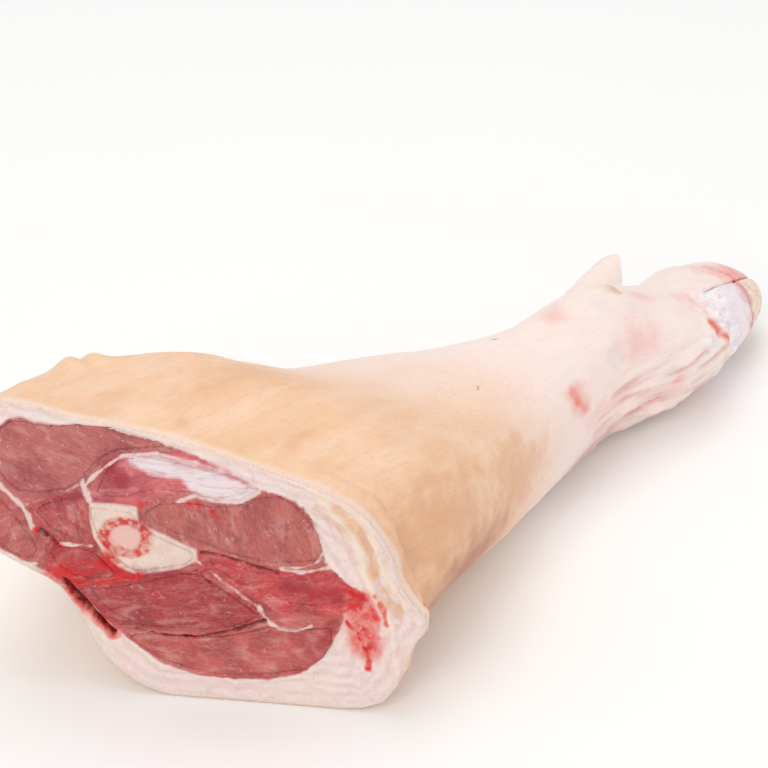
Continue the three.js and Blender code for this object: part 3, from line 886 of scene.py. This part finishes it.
# %% Toes
NEAR_HORN, FAR_HORN = 0.2015, 0.2235
TOE_AXIS = np.array((0.973, -0.195, 0.126))
TOE_FACE = 0.8
TOE_TURNS = 5
BASE_BACK = 3.5


def toe(node, seed, horn_from):
    """A toe whose base reaches a little way into the foot, with a ragged edge."""
    piece = new_piece(node + "_quick", cad_copy(node), node)
    remesh(piece, TOE_FACE)
    relax(piece, TOE_TURNS)
    points = points_of(piece)
    along = points @ TOE_AXIS
    from_base = along - along.min()
    back = BASE_BACK * (1 - rise(from_base, 0.0005, 0.009))
    points -= np.outer(back * MM, TOE_AXIS)
    x = points[:, 0]
    rings = 0.12 * np.sin(x / MM * 2.4 + 2 * rough(points, 8, 2, seed))
    rings *= rise(x, horn_from, horn_from + 0.006)
    crease = -0.9 * bell((x - horn_from - 0.004 * rough(points, 20, 1, seed + 1)) / MM, 1.6)
    ragged = (0.3 + 0.6 * rough(points, 7, 2, seed + 3)) * (1 - rise(from_base, 0.004, 0.013))
    lift = rings + crease + 0.25 * rough(points, 6, 2, seed + 2) + ragged
    points += normals_of(piece) * lift[:, None] * MM
    place_points(piece, np.clip(points, low, high))
    return piece


near_toe = toe("near_toe", 81, NEAR_HORN)
far_toe = toe("far_toe", 84, FAR_HORN)
print("toes:", len(near_toe.data.polygons), len(far_toe.data.polygons), "faces")

# %% [markdown]
# ## Writing materials as sums
#
# A material is a sum of masks and colours, so it is easiest to read as one. The class below
# wraps an output socket: adding or multiplying two of them adds a Math node. Colours go through
# a Mix node, because a Math node would turn them grey.

# %% Shader maths
class Wire:
    """An output socket that can be used in sums."""

    def __init__(self, tree, socket):
        self.tree = tree
        self.socket = socket

    def node(self, kind, settings=None, inputs=None, output=0):
        """Any node, from its type, its settings and the values or wires of its sockets."""
        made = self.tree.nodes.new("ShaderNode" + kind)
        for name, value in (settings or {}).items():
            setattr(made, name, value)
        for name, value in (inputs or {}).items():
            if isinstance(value, Wire):
                self.tree.links.new(value.socket, made.inputs[name])
            else:
                made.inputs[name].default_value = value
        return Wire(self.tree, made.outputs[output])

    def maths(self, operation, first, second=0.0):
        return self.node("Math", {"operation": operation}, {0: first, 1: second})

    def __add__(self, other):
        return self.maths("ADD", self, other)

    __radd__ = __add__

    def __sub__(self, other):
        return self.maths("SUBTRACT", self, other)

    def __rsub__(self, other):
        return self.maths("SUBTRACT", other, self)

    def __mul__(self, other):
        return self.maths("MULTIPLY", self, other)

    __rmul__ = __mul__

    def __truediv__(self, other):
        return self.maths("DIVIDE", self, other)

    def sine(self):
        return self.maths("SINE", self)

    def size(self):
        return self.maths("ABSOLUTE", self)

    def rise(self, start, end):
        """0 below start, 1 above end, and a smooth step between."""
        settings = {"interpolation_type": "SMOOTHSTEP"}
        inputs = {"Value": self, "From Min": start, "From Max": end}
        return self.node("MapRange", settings, inputs)

    def rise_straight(self, start, end):
        """0 below start, 1 above end, and a straight ramp between."""
        return self.node("MapRange", None, {"Value": self, "From Min": start, "From Max": end})

    def vector_maths(self, operation, vector=(0, 0, 0), output="Vector"):
        inputs = {0: self, 1: tuple(vector)}
        return self.node("VectorMath", {"operation": operation}, inputs, output)

    def moved(self, vector):
        return self.vector_maths("SUBTRACT", vector)

    def stretched(self, vector):
        return self.vector_maths("MULTIPLY", vector)

    def towards(self, vector):
        return self.vector_maths("DOT_PRODUCT", vector, "Value")

    def length(self):
        return self.vector_maths("LENGTH", output="Value")

    def noise(self, size_mm, detail=2.0, stretch=(1, 1, 1), distortion=0.0):
        """Noise from 0 to 1 with lumps of size_mm, wider along the axes stretched over 1."""
        scaled = self.stretched([1 / (size_mm * MM * s) for s in stretch])
        inputs = {"Vector": scaled, "Scale": 1.0, "Detail": detail, "Distortion": distortion}
        return self.node("TexNoise", None, inputs)

    def cells(self, size_mm):
        """Distance to the nearest of scattered points, which are about size_mm apart."""
        scaled = self.stretched([1 / (size_mm * MM)] * 3)
        return self.node("TexVoronoi", None, {"Vector": scaled, "Scale": 1.0})


def mix(share, first, second):
    """Colour first where share is 0 and second where it is 1."""
    wire = next(item for item in (share, first, second) if isinstance(item, Wire))
    return wire.node("Mix", {"data_type": "RGBA"}, {0: share, 6: first, 7: second}, output=2)


def paint(red, green, blue):
    """A colour as a screen shows it, 0 to 255, turned into the light values that a shader uses."""
    levels = [c / 255 for c in (red, green, blue)]
    linear = [c / 12.92 if c <= 0.04045 else ((c + 0.055) / 1.055) ** 2.4 for c in levels]
    return (*linear, 1.0)


print("mid grey as light:", round(paint(128, 128, 128)[0], 3))

# %% [markdown]
# ## One finish for each kind of tissue
#
# A finish holds a material and the wires that most materials need: the place on the piece, and
# the u, v and depth of the cut. Moist tissue is a little see-through, so each finish lets light
# in under its surface, red light furthest, and has a thin clear coat for the wet gloss.

# %% Finishes
class Finish:
    """A material under construction."""

    def __init__(self, name, sheen_level=0.5, soak=0.2, soak_mm=3.0, wet=0.2, wet_rough=0.2):
        self.material = bpy.data.materials.new(name)
        self.material.use_nodes = True
        self.tree = self.material.node_tree
        self.shader = self.tree.nodes["Principled BSDF"]
        self.place = Wire(self.tree, None).node("TexCoord", output="Object")
        constants = {
            "Specular IOR Level": sheen_level,
            "Subsurface Weight": soak,
            "Subsurface Scale": soak_mm * MM,
            "Subsurface Radius": (1.0, 0.42, 0.3),
            "Coat Weight": wet,
            "Coat Roughness": wet_rough,
        }
        for socket, value in constants.items():
            self.shader.inputs[socket].default_value = value

    def cut_depth(self):
        """Millimetres in front of the cut, negative inside the leg."""
        return self.place.moved(CUT_POINT).towards(OUTWARD) / MM

    def cut_place(self, turn):
        """The place as u, v and depth, turned by degrees in the plane of the cut."""
        away = self.place.moved(CUT_POINT)
        u = away.towards(ACROSS) / MM + CUT_POINT_UV[0]
        v = away.towards(UPWARD) / MM + CUT_POINT_UV[1]
        parts = {0: u, 1: v, 2: self.cut_depth()}
        place = u.node("CombineXYZ", None, parts).stretched((MM, MM, MM))
        inputs = {0: place, "Rotation": (0, 0, math.radians(turn))}
        return u.node("Mapping", {"vector_type": "POINT"}, inputs)

    def stored(self, name):
        """Numbers that were stored for each point of the piece."""
        return self.place.node("Attribute", {"attribute_name": name}, output="Fac")

    def near(self, centre_mm, size_mm, warp=None):
        """1 at a spot on the piece and 0 away from it."""
        moved = self.place.moved([c * MM for c in centre_mm])
        away = moved.stretched([1 / (s * MM) for s in size_mm]).length()
        if warp is not None:
            away = away + warp
        return 1 - away.rise(0.1, 1.15)

    def near_line(self, start_mm, end_mm, radius_mm, warp):
        """1 along a straight mark on the piece and 0 away from it."""
        start = Vector(start_mm) * MM
        run = Vector(end_mm) * MM - start
        away = self.place.moved(start)
        along = away.towards(run / run.length_squared).rise_straight(0, 1)
        closest = away.node("VectorMath", {"operation": "SCALE"}, {0: tuple(run), "Scale": along})
        gap = away.node("VectorMath", {"operation": "DISTANCE"}, {0: away, 1: closest}, "Value")
        return 1 - (gap / (radius_mm * MM) + warp).rise(0.2, 1.2)

    def feed(self, socket, wire):
        self.tree.links.new(wire.socket, self.shader.inputs[socket])

    def colour(self, wire):
        self.feed("Base Color", wire)

    def roughness(self, wire):
        self.feed("Roughness", wire)

    def bump(self, height_mm):
        inputs = {"Strength": 1.0, "Distance": MM, "Height": height_mm}
        self.feed("Normal", height_mm.node("Bump", None, inputs))

    def dress(self, piece):
        piece.data.materials.clear()
        piece.data.materials.append(self.material)
        print(self.material.name, "has", len(self.tree.nodes), "nodes")


# %% [markdown]
# ## Meat
#
# Raw pork is a greyish pink-red, and each muscle has its own tone. Over the tone lie large deeper
# patches, fibres that run along the muscle, pale streaks of painted sheen where the wet meat would
# catch the light, pale threads of marbling, and then the strokes that were stored on the cut.

# %% Colours of the meat
MEAT_TONES = {
    # tone, turn of the fibres in degrees
    "muscle_top_left": ((206, 108, 104), 25),
    "muscle_left_lobe": ((208, 104, 98), -45),
    "muscle_mid_left": ((200, 76, 76), 60),
    "muscle_top_centre": ((228, 102, 110), -10),
    "muscle_right": ((206, 104, 96), 70),
    "muscle_low_left": ((198, 56, 56), -25),
    "muscle_low_centre": ((192, 54, 58), -8),
    "muscle_right_band": ((222, 66, 70), -15),
    "muscle_bottom": ((216, 98, 92), 8),
}
DEEP = paint(152, 40, 50)
THREAD = paint(236, 178, 170)
BLOOD = paint(224, 14, 12)
CLOT = paint(150, 12, 20)
CRIMSON = paint(160, 26, 44)
FASCIA = paint(243, 220, 213)
SILVER = paint(244, 230, 232)
# painted shade: the dark red laid into the clefts and slits
CLEFT_SHADE = paint(104, 10, 16)
BONE = paint(238, 214, 200)
MARROW = paint(236, 186, 176)


def scaled(colour, level):
    """The same colour, lighter or darker."""
    if isinstance(colour, Wire):
        return colour.node("VectorMath", {"operation": "SCALE"}, {0: colour, "Scale": level})
    return (*(c * level for c in colour[:3]), 1.0)


def flesh_colour(place, tone):
    """Meat whose fibres run along the x of a place."""
    patches = place.noise(13, 3).rise(0.40, 0.68)
    fibres = place.noise(0.9, 4, (6, 1, 2), 0.6).rise(0.3, 0.7)
    # painted sheen: soft pale streaks that stand for light on the wet meat
    painted_sheen = place.noise(6, 4, (2.2, 1, 1), 0.8).rise(0.46, 0.72)
    threads = (place.noise(5, 4, (3, 1, 1), 0.4) - 0.5).size().rise(0.0, 0.018)
    shown = place.noise(9, 2).rise(0.46, 0.64)
    flecks = place.cells(4.2).rise(0.04, 0.12)
    colour = mix(patches * 0.55, tone, DEEP)
    colour = mix((1 - fibres) * 0.45, colour, scaled(colour, 0.62))
    grain = place.noise(0.8, 3, (2.5, 1, 1)).rise(0.36, 0.64)
    colour = mix(grain * 0.22, scaled(colour, 0.92), mix(0.5, colour, THREAD))
    colour = mix(painted_sheen * 0.36, colour, THREAD)
    colour = mix((1 - threads) * shown * 0.42, colour, THREAD)
    return mix((1 - flecks) * 0.45, colour, FASCIA)


def bone_colour(finish):
    """Ivory with fine pores, pink in the marrow, with a broken ring of blood round it."""
    ring = 1 - (finish.stored("marrow") - 0.86).size().rise(0.10, 0.34)
    blotches = finish.place.noise(2.6, 4).rise(0.36, 0.62)
    pores = finish.place.cells(1.3).rise(0.05, 0.5)
    colour = mix(finish.place.noise(7, 3).rise(0.4, 0.7) * 0.6, BONE, paint(226, 196, 182))
    colour = mix((1 - pores) * 0.25, colour, paint(208, 160, 148))
    core = 1 - finish.stored("marrow").rise(0.5, 0.9)
    colour = mix(core * 0.9, colour, MARROW)
    return mix(ring * (0.45 + 0.65 * blotches) * 0.95, colour, paint(214, 62, 52))


def marked(finish, colour):
    """Adds the stored strokes to a colour."""
    fine = finish.place.noise(2.4, 4) - 0.5
    broken = finish.place.noise(4.0, 4).rise(0.36, 0.62)
    streaks = finish.place.noise(1.6, 4, stretch=(6, 6, 1), distortion=0.5).rise(0.36, 0.62)
    tendon = finish.stored("tendon")
    colour = mix((finish.stored("crimson") + fine * 0.6).rise(0.1, 0.9) * 0.75, colour, CRIMSON)
    colour = mix((tendon * 0.85 + tendon * streaks * 0.35).rise(0.2, 1.1) * 0.95, colour, SILVER)
    colour = mix((finish.stored("white") + fine * 1.0).rise(0.2, 0.9) * 0.8, colour, FASCIA)
    bloody = (finish.stored("blood") * (0.55 + 0.7 * broken) + fine * 0.4).rise(0.12, 0.95)
    colour = mix(bloody * 0.96, colour, mix(broken, scaled(BLOOD, 0.92), BLOOD))
    colour = mix(finish.stored("blood").rise(0.6, 1.0) * broken * 0.5, colour, CLOT)
    # the clefts and slits come last, in painted shade
    return mix((finish.stored("dark") + fine * 1.1).rise(0.2, 0.95) * 0.85, colour, CLEFT_SHADE)


for node, (tone, turn) in MEAT_TONES.items():
    finish = Finish(node + "_meat", 0.35, soak=0.2, soak_mm=2.0, wet=0.22, wet_rough=0.16)
    grain = finish.cut_place(turn)
    colour = flesh_colour(grain, paint(*tone))
    finish.colour(marked(finish, mix(finish.stored("bone"), colour, bone_colour(finish))))
    finish.roughness(0.30 + 0.25 * finish.place.noise(4, 2))
    finish.bump(grain.noise(1.1, 4, (4, 1, 2), 0.5) * 0.8 + grain.noise(3.2, 2) * 0.5)
    finish.dress(flesh[node])

# %% [markdown]
# ## Fat and seams
#
# The sheet between the muscles takes the tone and the fibre direction of the muscles nearest to
# it, which are worked out here for each of its points. Outside the meat it is white fat, and the
# folds of the lip are cream, with ochre painted shade in the valleys between them.

# %% Tones on the sheet
tones = np.array([paint(*MEAT_TONES[node][0]) for node in MUSCLES])
layer = fat.data.attributes.new("tone", "FLOAT_COLOR", "POINT")
layer.data.foreach_set("color", (nearness(to_muscles).T @ tones).astype(np.float32).ravel())

u, v, depth = cut_places(points)
turns = np.radians([MEAT_TONES[node][1] for node in MUSCLES])[to_muscles.argmin(axis=0)]
turned_u = np.cos(turns) * u - np.sin(turns) * v
turned_v = np.sin(turns) * u + np.cos(turns) * v
grain_places = np.column_stack((turned_u, turned_v, depth)) * MM
layer = fat.data.attributes.new("grain", "FLOAT_VECTOR", "POINT")
layer.data.foreach_set("vector", grain_places.astype(np.float32).ravel())
store(fat, {**values, "rim_mm": inside, "meat": meat})
print("attributes of the sheet:", [layer.name for layer in fat.data.attributes])

# %% Colour of the fat
finish = Finish("fat_and_seams", 0.35, soak=0.22, soak_mm=2.5, wet=0.22, wet_rough=0.18)
rim = finish.stored("rim_mm")
drift = finish.place.noise(14, 3)
bands = ((rim * 1.3 + drift * 11).sine() * 0.5 + 0.5).rise(0.2, 0.95)
veins = (finish.place.noise(9, 4, distortion=0.8) - 0.5).size().rise(0.0, 0.03)
fat_colour = mix(bands * 0.5, paint(244, 226, 220), paint(232, 202, 195))
fat_colour = mix((1 - veins) * 0.30, fat_colour, paint(232, 172, 162))
fat_colour = mix(finish.place.noise(24, 2).rise(0.45, 0.7) * 0.4, fat_colour, paint(248, 226, 212))
fat_colour = mix(finish.stored("ridge").rise(0.1, 0.7) * 0.9, fat_colour, paint(248, 226, 206))
# painted shade, tinted ochre, in the valleys between the folds of the lip
valley = (finish.stored("valley") + (finish.place.noise(3, 3) - 0.5) * 0.8).rise(-0.1, 1.3)
fat_colour = mix(valley * 0.8, fat_colour, paint(238, 192, 148))
fat_colour = mix((1 - rim.rise(0.7, 2.0)) * 0.5, fat_colour, paint(240, 208, 186))
flushed = finish.stored("blood").rise(0.02, 0.35)
fat_colour = mix(flushed * 0.75, fat_colour, paint(236, 128, 116))

grain = finish.place.node("Attribute", {"attribute_name": "grain"}, output="Vector")
tone = finish.place.node("Attribute", {"attribute_name": "tone"}, output="Color")
colour = mix(finish.stored("meat"), fat_colour, flesh_colour(grain, tone))
colour = mix(finish.stored("bone"), colour, bone_colour(finish))
finish.colour(marked(finish, colour))
finish.roughness(0.34 + 0.2 * finish.place.noise(5, 2))
finish.bump(finish.place.noise(2.2, 3) * 0.35 + finish.place.noise(0.9, 3) * 0.3)
finish.dress(fat)

# %% [markdown]
# ## Bone and marrow
#
# Sawn bone is ivory and faintly spongy. Blood has seeped from the marrow into the bone round it,
# and left a red ring with a pale core.

# %% Colours of bone and marrow
finish = Finish("sawn_bone", soak=0.15, soak_mm=2, wet=0.15, wet_rough=0.3)
finish.colour(marked(finish, bone_colour(finish)))
finish.roughness(0.45 + 0.2 * finish.place.noise(3, 2))
finish.bump(finish.place.cells(1.5) * 0.35 + finish.place.noise(0.8, 3) * 0.15)
finish.dress(bone)

finish = Finish("marrow_core", soak=0.2, soak_mm=2, wet=0.4, wet_rough=0.2)
finish.colour(bone_colour(finish))
finish.roughness(0.32 + 0.2 * finish.place.noise(3, 2))
finish.bump(finish.place.noise(1.6, 3) * 0.5)
finish.dress(marrow)

# %% [markdown]
# ## Skin
#
# The forearm is tan, where scalding and the flame have tinted it, and the foot is a pale pink
# white. Pressure has left soft patches, and there are a few cuts and stains. Painted shade darkens
# the lower side of the leg and of the foot. As with the marks in its shape, tables say where each
# of them lies.

# %% Spots and lines on the skin
PINK_SPOTS = (
    # centre and size in millimetres, and strength
    ((95, -32, 61), (18, 10, 12), 0.55),
    ((119, -12, 67), (13, 9, 8), 0.50),
    ((63, -5, 77), (12, 9, 9), 0.55),
    ((145, -16, 57), (10, 6, 8), 0.45),
    ((60, -36, 40), (24, 10, 10), 0.40),
    ((-13, -58, 38), (16, 8, 8), 0.40),
    ((43, -39, 55), (11, 9, 11), 0.60),
    ((110, -38, 28), (26, 10, 10), 0.45),
    ((20, -10, 72), (20, 10, 8), 0.25),
    ((196, -4, 44), (18, 18, 12), 0.85),
    ((184, -22, 42), (9, 8, 8), 0.40),
)
BLUE_SPOTS = (
    ((86, -16, 77), (10, 8, 8), 0.30),
    ((103, -22, 71), (9, 7, 7), 0.30),
    ((75, -33, 61), (9, 6, 6), 0.30),
)
RED_LINES = (
    # start, end and radius in millimetres, and strength
    ((39.5, -37.5, 60), (43, -40, 54), 3.2, 0.34),
    ((43, -40, 54), (47.5, -41, 48.5), 2.6, 0.34),
    ((150.5, -34, 47), (155, -36.5, 42), 4.2, 0.95),
    ((155, -36.5, 42), (160, -38, 36), 3.4, 0.95),
    ((41, -38.5, 58), (46, -41, 50), 7.5, 0.28),
)
BROWN_LINES = (
    ((26.5, -0.5, 77.5), (29.5, -1.5, 76.5), 0.9, 0.8),
    ((-12, -27, 80), (-10, -25, 80), 0.8, 0.5),
    ((100, -9.5, 73.5), (108, -9.5, 71), 1.2, 0.8),
)
TAN_STAINS = (
    ((-160, -1, 119), (5, 5, 7), 0.35),
    ((-90, -74, 66), (75, 20, 40), 0.60),
    ((-20, -58, 52), (45, 16, 24), 0.55),
    ((-110, 12, 116), (60, 18, 16), 0.35),
    ((-124, -31, 110), (12, 4, 6), 0.35),
    ((-182, 27, 125), (30, 12, 9), 0.25),
)
DEWCLAW_STUB = (((102.5, -6.5, 73.5), (10, 6.5, 6), 0.85),)
# painted shade on the lower side of the forearm and under the foot
PAINTED_SHADE = (
    ((-62, -74, 34), (66, 16, 24), 0.9),
    ((-100, -84, 26), (40, 16, 22), 0.45),
    ((60, -34, 14), (48, 14, 18), 0.55),
)
TORN_SKIN = (
    ((163, -20, 51), (8, 6, 6), 0.85),
    ((161, -29, 47), (8, 7, 7), 0.85),
    ((143, -40, 41), (13, 6, 6), 0.75),
    ((165, -34, 41), (8, 6, 8), 0.85),
)


def spotted(finish, colour, spots, warp, tint):
    """Adds soft spots of a tint at their places."""
    for centre, size, strength in spots:
        colour = mix(finish.near(centre, size, warp) * strength, colour, tint)
    return colour


def lined(finish, colour, lines, warp, tint):
    """Adds short marks of a tint along their lines."""
    for start, end, radius, strength in lines:
        colour = mix(finish.near_line(start, end, radius, warp) * strength, colour, tint)
    return colour


def torn_colour(finish):
    """Skin that was pulled open: white and pale lilac, with a few pink threads."""
    streaks = finish.place.noise(3.0, 3, stretch=(3, 1, 1), distortion=0.6)
    colour = mix(streaks.rise(0.38, 0.62), paint(252, 250, 252), paint(232, 224, 236))
    return mix(finish.place.noise(5, 3).rise(0.52, 0.66) * 0.6, colour, paint(240, 176, 168))


print("spots:", sum(len(spots) for spots in (PINK_SPOTS, BLUE_SPOTS, TAN_STAINS, PAINTED_SHADE, TORN_SKIN)))

# %% [markdown]
# The tone runs from tan to pink along the leg, with fine combed lines from the hair that run
# slantwise down it. Each later layer covers what lies under it: stains and the painted shade of
# the lower side first, then the valleys of the folds in pink with painted shade, the torn skin and
# the cuts, the bare end of the dewclaw, the hairs, and last the cream edge of the rind at the cut.

# %% Colour of the skin
finish = Finish("pork_skin", soak=0.2, soak_mm=3.0, wet=0.12, wet_rough=0.3)
x = finish.place.towards((1, 0, 0))
y = finish.place.towards((0, 1, 0))
depth = finish.cut_depth()
drift = finish.place.noise(60, 2) - 0.5
foot = (x + 0.8 * (y + 0.04) + drift * 0.05).rise(-0.070, 0.050)
mottle = finish.place.noise(18, 4, stretch=(1.6, 1, 1)).rise(0.35, 0.7)
brushed = finish.place.noise(7, 3, stretch=(9, 1.5, 1.5), distortion=0.3).rise(0.35, 0.7)
colour = mix(foot, paint(243, 200, 162), paint(252, 234, 227))
colour = mix(mottle * 0.35, colour, mix(foot, paint(230, 180, 138), paint(248, 216, 208)))
colour = mix(brushed * 0.30, colour, mix(foot, paint(251, 228, 208), paint(250, 226, 212)))
warp = (finish.place.noise(9, 3) - 0.5) * 1.6
colour = spotted(finish, colour, TAN_STAINS, warp, paint(220, 160, 114))
# painted shade on the lower side
colour = spotted(finish, colour, PAINTED_SHADE, warp * 0.45, paint(184, 120, 98))
colour = spotted(finish, colour, PINK_SPOTS, warp, paint(242, 184, 178))
colour = spotted(finish, colour, BLUE_SPOTS, warp, paint(214, 206, 216))
# the valleys of the folds turn a darker pink: the pinker skin in them, with painted shade
fold_pink_and_shade = 1 - finish.stored("fold").rise(-1.4, 0.2)
colour = mix(fold_pink_and_shade * 0.55, colour, paint(226, 150, 142))
colour = spotted(finish, colour, TORN_SKIN, warp, torn_colour(finish))
colour = lined(finish, colour, RED_LINES, warp * 0.6, paint(232, 92, 62))
colour = spotted(finish, colour, DEWCLAW_STUB, warp * 0.3, paint(216, 176, 132))
colour = lined(finish, colour, BROWN_LINES, warp * 0.5, paint(140, 96, 62))
sliced = finish.place.moved(DEWCLAW_CUT).towards(DEWCLAW_FACE) / MM
beside = 1 - finish.place.moved(DEWCLAW_TIP).length().rise(0.014, 0.018)
colour = mix(sliced.rise(-1.6, -0.4) * beside * 0.85, colour, paint(253, 248, 248))
colour = mix(finish.near((138, 18, 55), (9, 8, 8)) * 0.6, colour, paint(253, 246, 246))
hair = finish.place.noise(0.55, 2, stretch=(14, 1.5, 1.5), distortion=0.4)
strands = mix(foot, paint(206, 156, 120), paint(232, 198, 188))
colour = mix(hair.rise(0.45, 0.75) * 0.20, colour, strands)
cream = mix(finish.place.noise(9, 3), paint(250, 228, 210), paint(242, 204, 180))
colour = mix(depth.rise(-5, -1.0) * (1 - foot) * 0.75, colour, cream)
edge = mix(finish.place.noise(4, 3), paint(246, 222, 210), paint(238, 198, 180))
colour = mix(depth.rise(-1.6, -0.5) * 0.8, colour, edge)
finish.colour(colour)
finish.roughness(0.40 + 0.16 * finish.place.noise(6, 3) + 0.05 * hair)
pores = finish.place.cells(1.7).rise(0.0, 0.45)
finish.bump(hair * 0.22 + pores * 0.08 + finish.place.noise(5, 3, stretch=(3, 1, 1)) * 0.35)
finish.dress(skin)

# %% [markdown]
# ## Toes
#
# The quick is pink, redder on the far toe. The near one is a pale bluish white, partly its own
# colour and partly a painted sheen, and the horn that is left on the tips is beige with fine
# growth rings.

# %% Colour of the toes
def toe_finish(name, quick, flush, flushed, horn_from):
    """The quick takes its flush where the flushed wire says, and the horn covers the tip."""
    finish = Finish(name, soak=0.25, soak_mm=2.5, wet=0.3, wet_rough=0.22)
    x = finish.place.towards((1, 0, 0)) + (finish.place.noise(18, 2) - 0.5) * 0.012
    lines = finish.place.noise(2, 3, stretch=(6, 1, 1)).rise(0.35, 0.7)
    patches = finish.place.noise(9, 3).rise(0.42, 0.62)
    share = (patches * 0.4 + flushed(finish.place) * 0.8).rise(0.1, 1.0)
    colour = mix(share, paint(*quick), paint(*flush))
    colour = mix(lines * 0.25, colour, paint(246, 236, 240))
    torn = 1 - x.rise(0.172, 0.186)
    colour = mix(torn * 0.7, colour, torn_colour(finish))
    # painted shade along the crease where the horn begins
    crease = 1 - (x - horn_from + 0.001).size().rise(0.0006, 0.004)
    colour = mix(crease * 0.6, colour, paint(204, 132, 132))
    horn_colour = mix(lines, paint(246, 226, 206), paint(234, 200, 172))
    finish.colour(mix(x.rise(horn_from - 0.001, horn_from + 0.002), colour, horn_colour))
    finish.roughness(0.35 + 0.2 * finish.place.noise(4, 2))
    finish.bump(lines * 0.25 + finish.place.noise(1.4, 3) * 0.2)
    return finish


def towards_horn(place):
    return place.towards((1, 0, 0)).rise(0.186, 0.201)


def inner_side(place):
    return 1 - place.towards((0, 1, 0)).rise(-0.012, 0.022)


# the near quick's bluish white is partly painted sheen
toe_finish("near_quick", (244, 232, 236), (238, 184, 188), towards_horn, NEAR_HORN).dress(near_toe)
toe_finish("far_quick", (252, 220, 210), (240, 142, 130), inner_side, FAR_HORN).dress(far_toe)

# %% [markdown]
# ## Floor, light and camera
#
# The leg lies on a plain pale floor, far wider than the picture. Its paint is nearly white, and
# barely glossy, so that it shows only the soft shadow of the leg.

# %% Floor
FLOOR_HALF = 4
floor_shape = bmesh.new()
bmesh.ops.create_grid(floor_shape, x_segments=1, y_segments=1, size=FLOOR_HALF)
floor_mesh = bpy.data.meshes.new("floor")
floor_shape.to_mesh(floor_mesh)
floor_shape.free()
floor = bpy.data.objects.new("floor", floor_mesh)
bpy.context.scene.collection.objects.link(floor)
finish = Finish("floor_paper", sheen_level=0.2, soak=0.0, wet=0.0)
finish.colour(mix(finish.place.noise(300, 2), paint(251, 250, 249), paint(252, 252, 251)))
finish.roughness(0.6 + 0.1 * finish.place.noise(40, 2))
finish.dress(floor)

# %% [markdown]
# The camera looks along the leg from above the cut, with a long lens, as the joint was
# photographed. The numbers come from fitting the solids to the picture: how much it is turned and
# raised, how far it is magnified, and where the leg's own origin falls in it.

# %% Camera
IMAGE_PIXELS = 768
SENSOR_MM = 36
PIXELS_PER_TANGENT = 2200
SCALE_AT_CUT = 2.4
ORIGIN_PIXEL = (290, 705)
VIEW_TURN = math.radians(45)
VIEW_RISE = math.radians(33)

forward = Vector(
    (
        math.sin(VIEW_TURN) * math.cos(VIEW_RISE),
        math.cos(VIEW_TURN) * math.cos(VIEW_RISE),
        -math.sin(VIEW_RISE),
    )
)
right = forward.cross(Vector((0, 0, 1))).normalized()
top = right.cross(forward)
distance = PIXELS_PER_TANGENT / SCALE_AT_CUT * MM
sideways = (ORIGIN_PIXEL[0] - IMAGE_PIXELS / 2) / PIXELS_PER_TANGENT
downwards = (ORIGIN_PIXEL[1] - IMAGE_PIXELS / 2) / PIXELS_PER_TANGENT

camera_data = bpy.data.cameras.new("camera")
camera_data.sensor_width = SENSOR_MM
camera_data.lens = PIXELS_PER_TANGENT / IMAGE_PIXELS * SENSOR_MM
camera = bpy.data.objects.new("camera", camera_data)
camera.location = LEG_ORIGIN - distance * (forward + sideways * right - downwards * top)
camera.rotation_euler = forward.to_track_quat("-Z", "Y").to_euler()
bpy.context.scene.collection.objects.link(camera)
bpy.context.scene.camera = camera
print("camera at", [round(x, 3) for x in camera.location])

# %% [markdown]
# The light is broad and soft. A large lamp overhead gives the shape its gentle shading, one lights
# the cut, a weak one brightens the foot, and a pale sky fills the shadows.

# %% Light
def lamp(name, place, size, watts, colour=(1, 1, 1)):
    """A round lamp that shines on the middle of the leg."""
    data = bpy.data.lights.new(name, "AREA")
    data.shape = "DISK"
    data.size = size
    data.energy = watts
    data.color = colour
    light = bpy.data.objects.new(name, data)
    light.location = place
    light.rotation_euler = (-Vector(place)).to_track_quat("-Z", "Y").to_euler()
    bpy.context.scene.collection.objects.link(light)
    print("lamp", name, "of", watts, "W")


lamp("overhead", (0.15, 0.35, 1.7), 1.2, 7.2, (1.0, 0.99, 0.97))
lamp("in front of the cut", (-1.3, -0.6, 1.2), 1.0, 6.5)
lamp("beside the foot", (1.0, -0.9, 0.7), 1.2, 1.4)
sky = bpy.data.worlds.new("sky")
sky.use_nodes = True
sky.node_tree.nodes["Background"].inputs["Color"].default_value = (1, 1, 1, 1)
sky.node_tree.nodes["Background"].inputs["Strength"].default_value = 0.71
bpy.context.scene.world = sky
bpy.context.scene.view_settings.view_transform = "Standard"
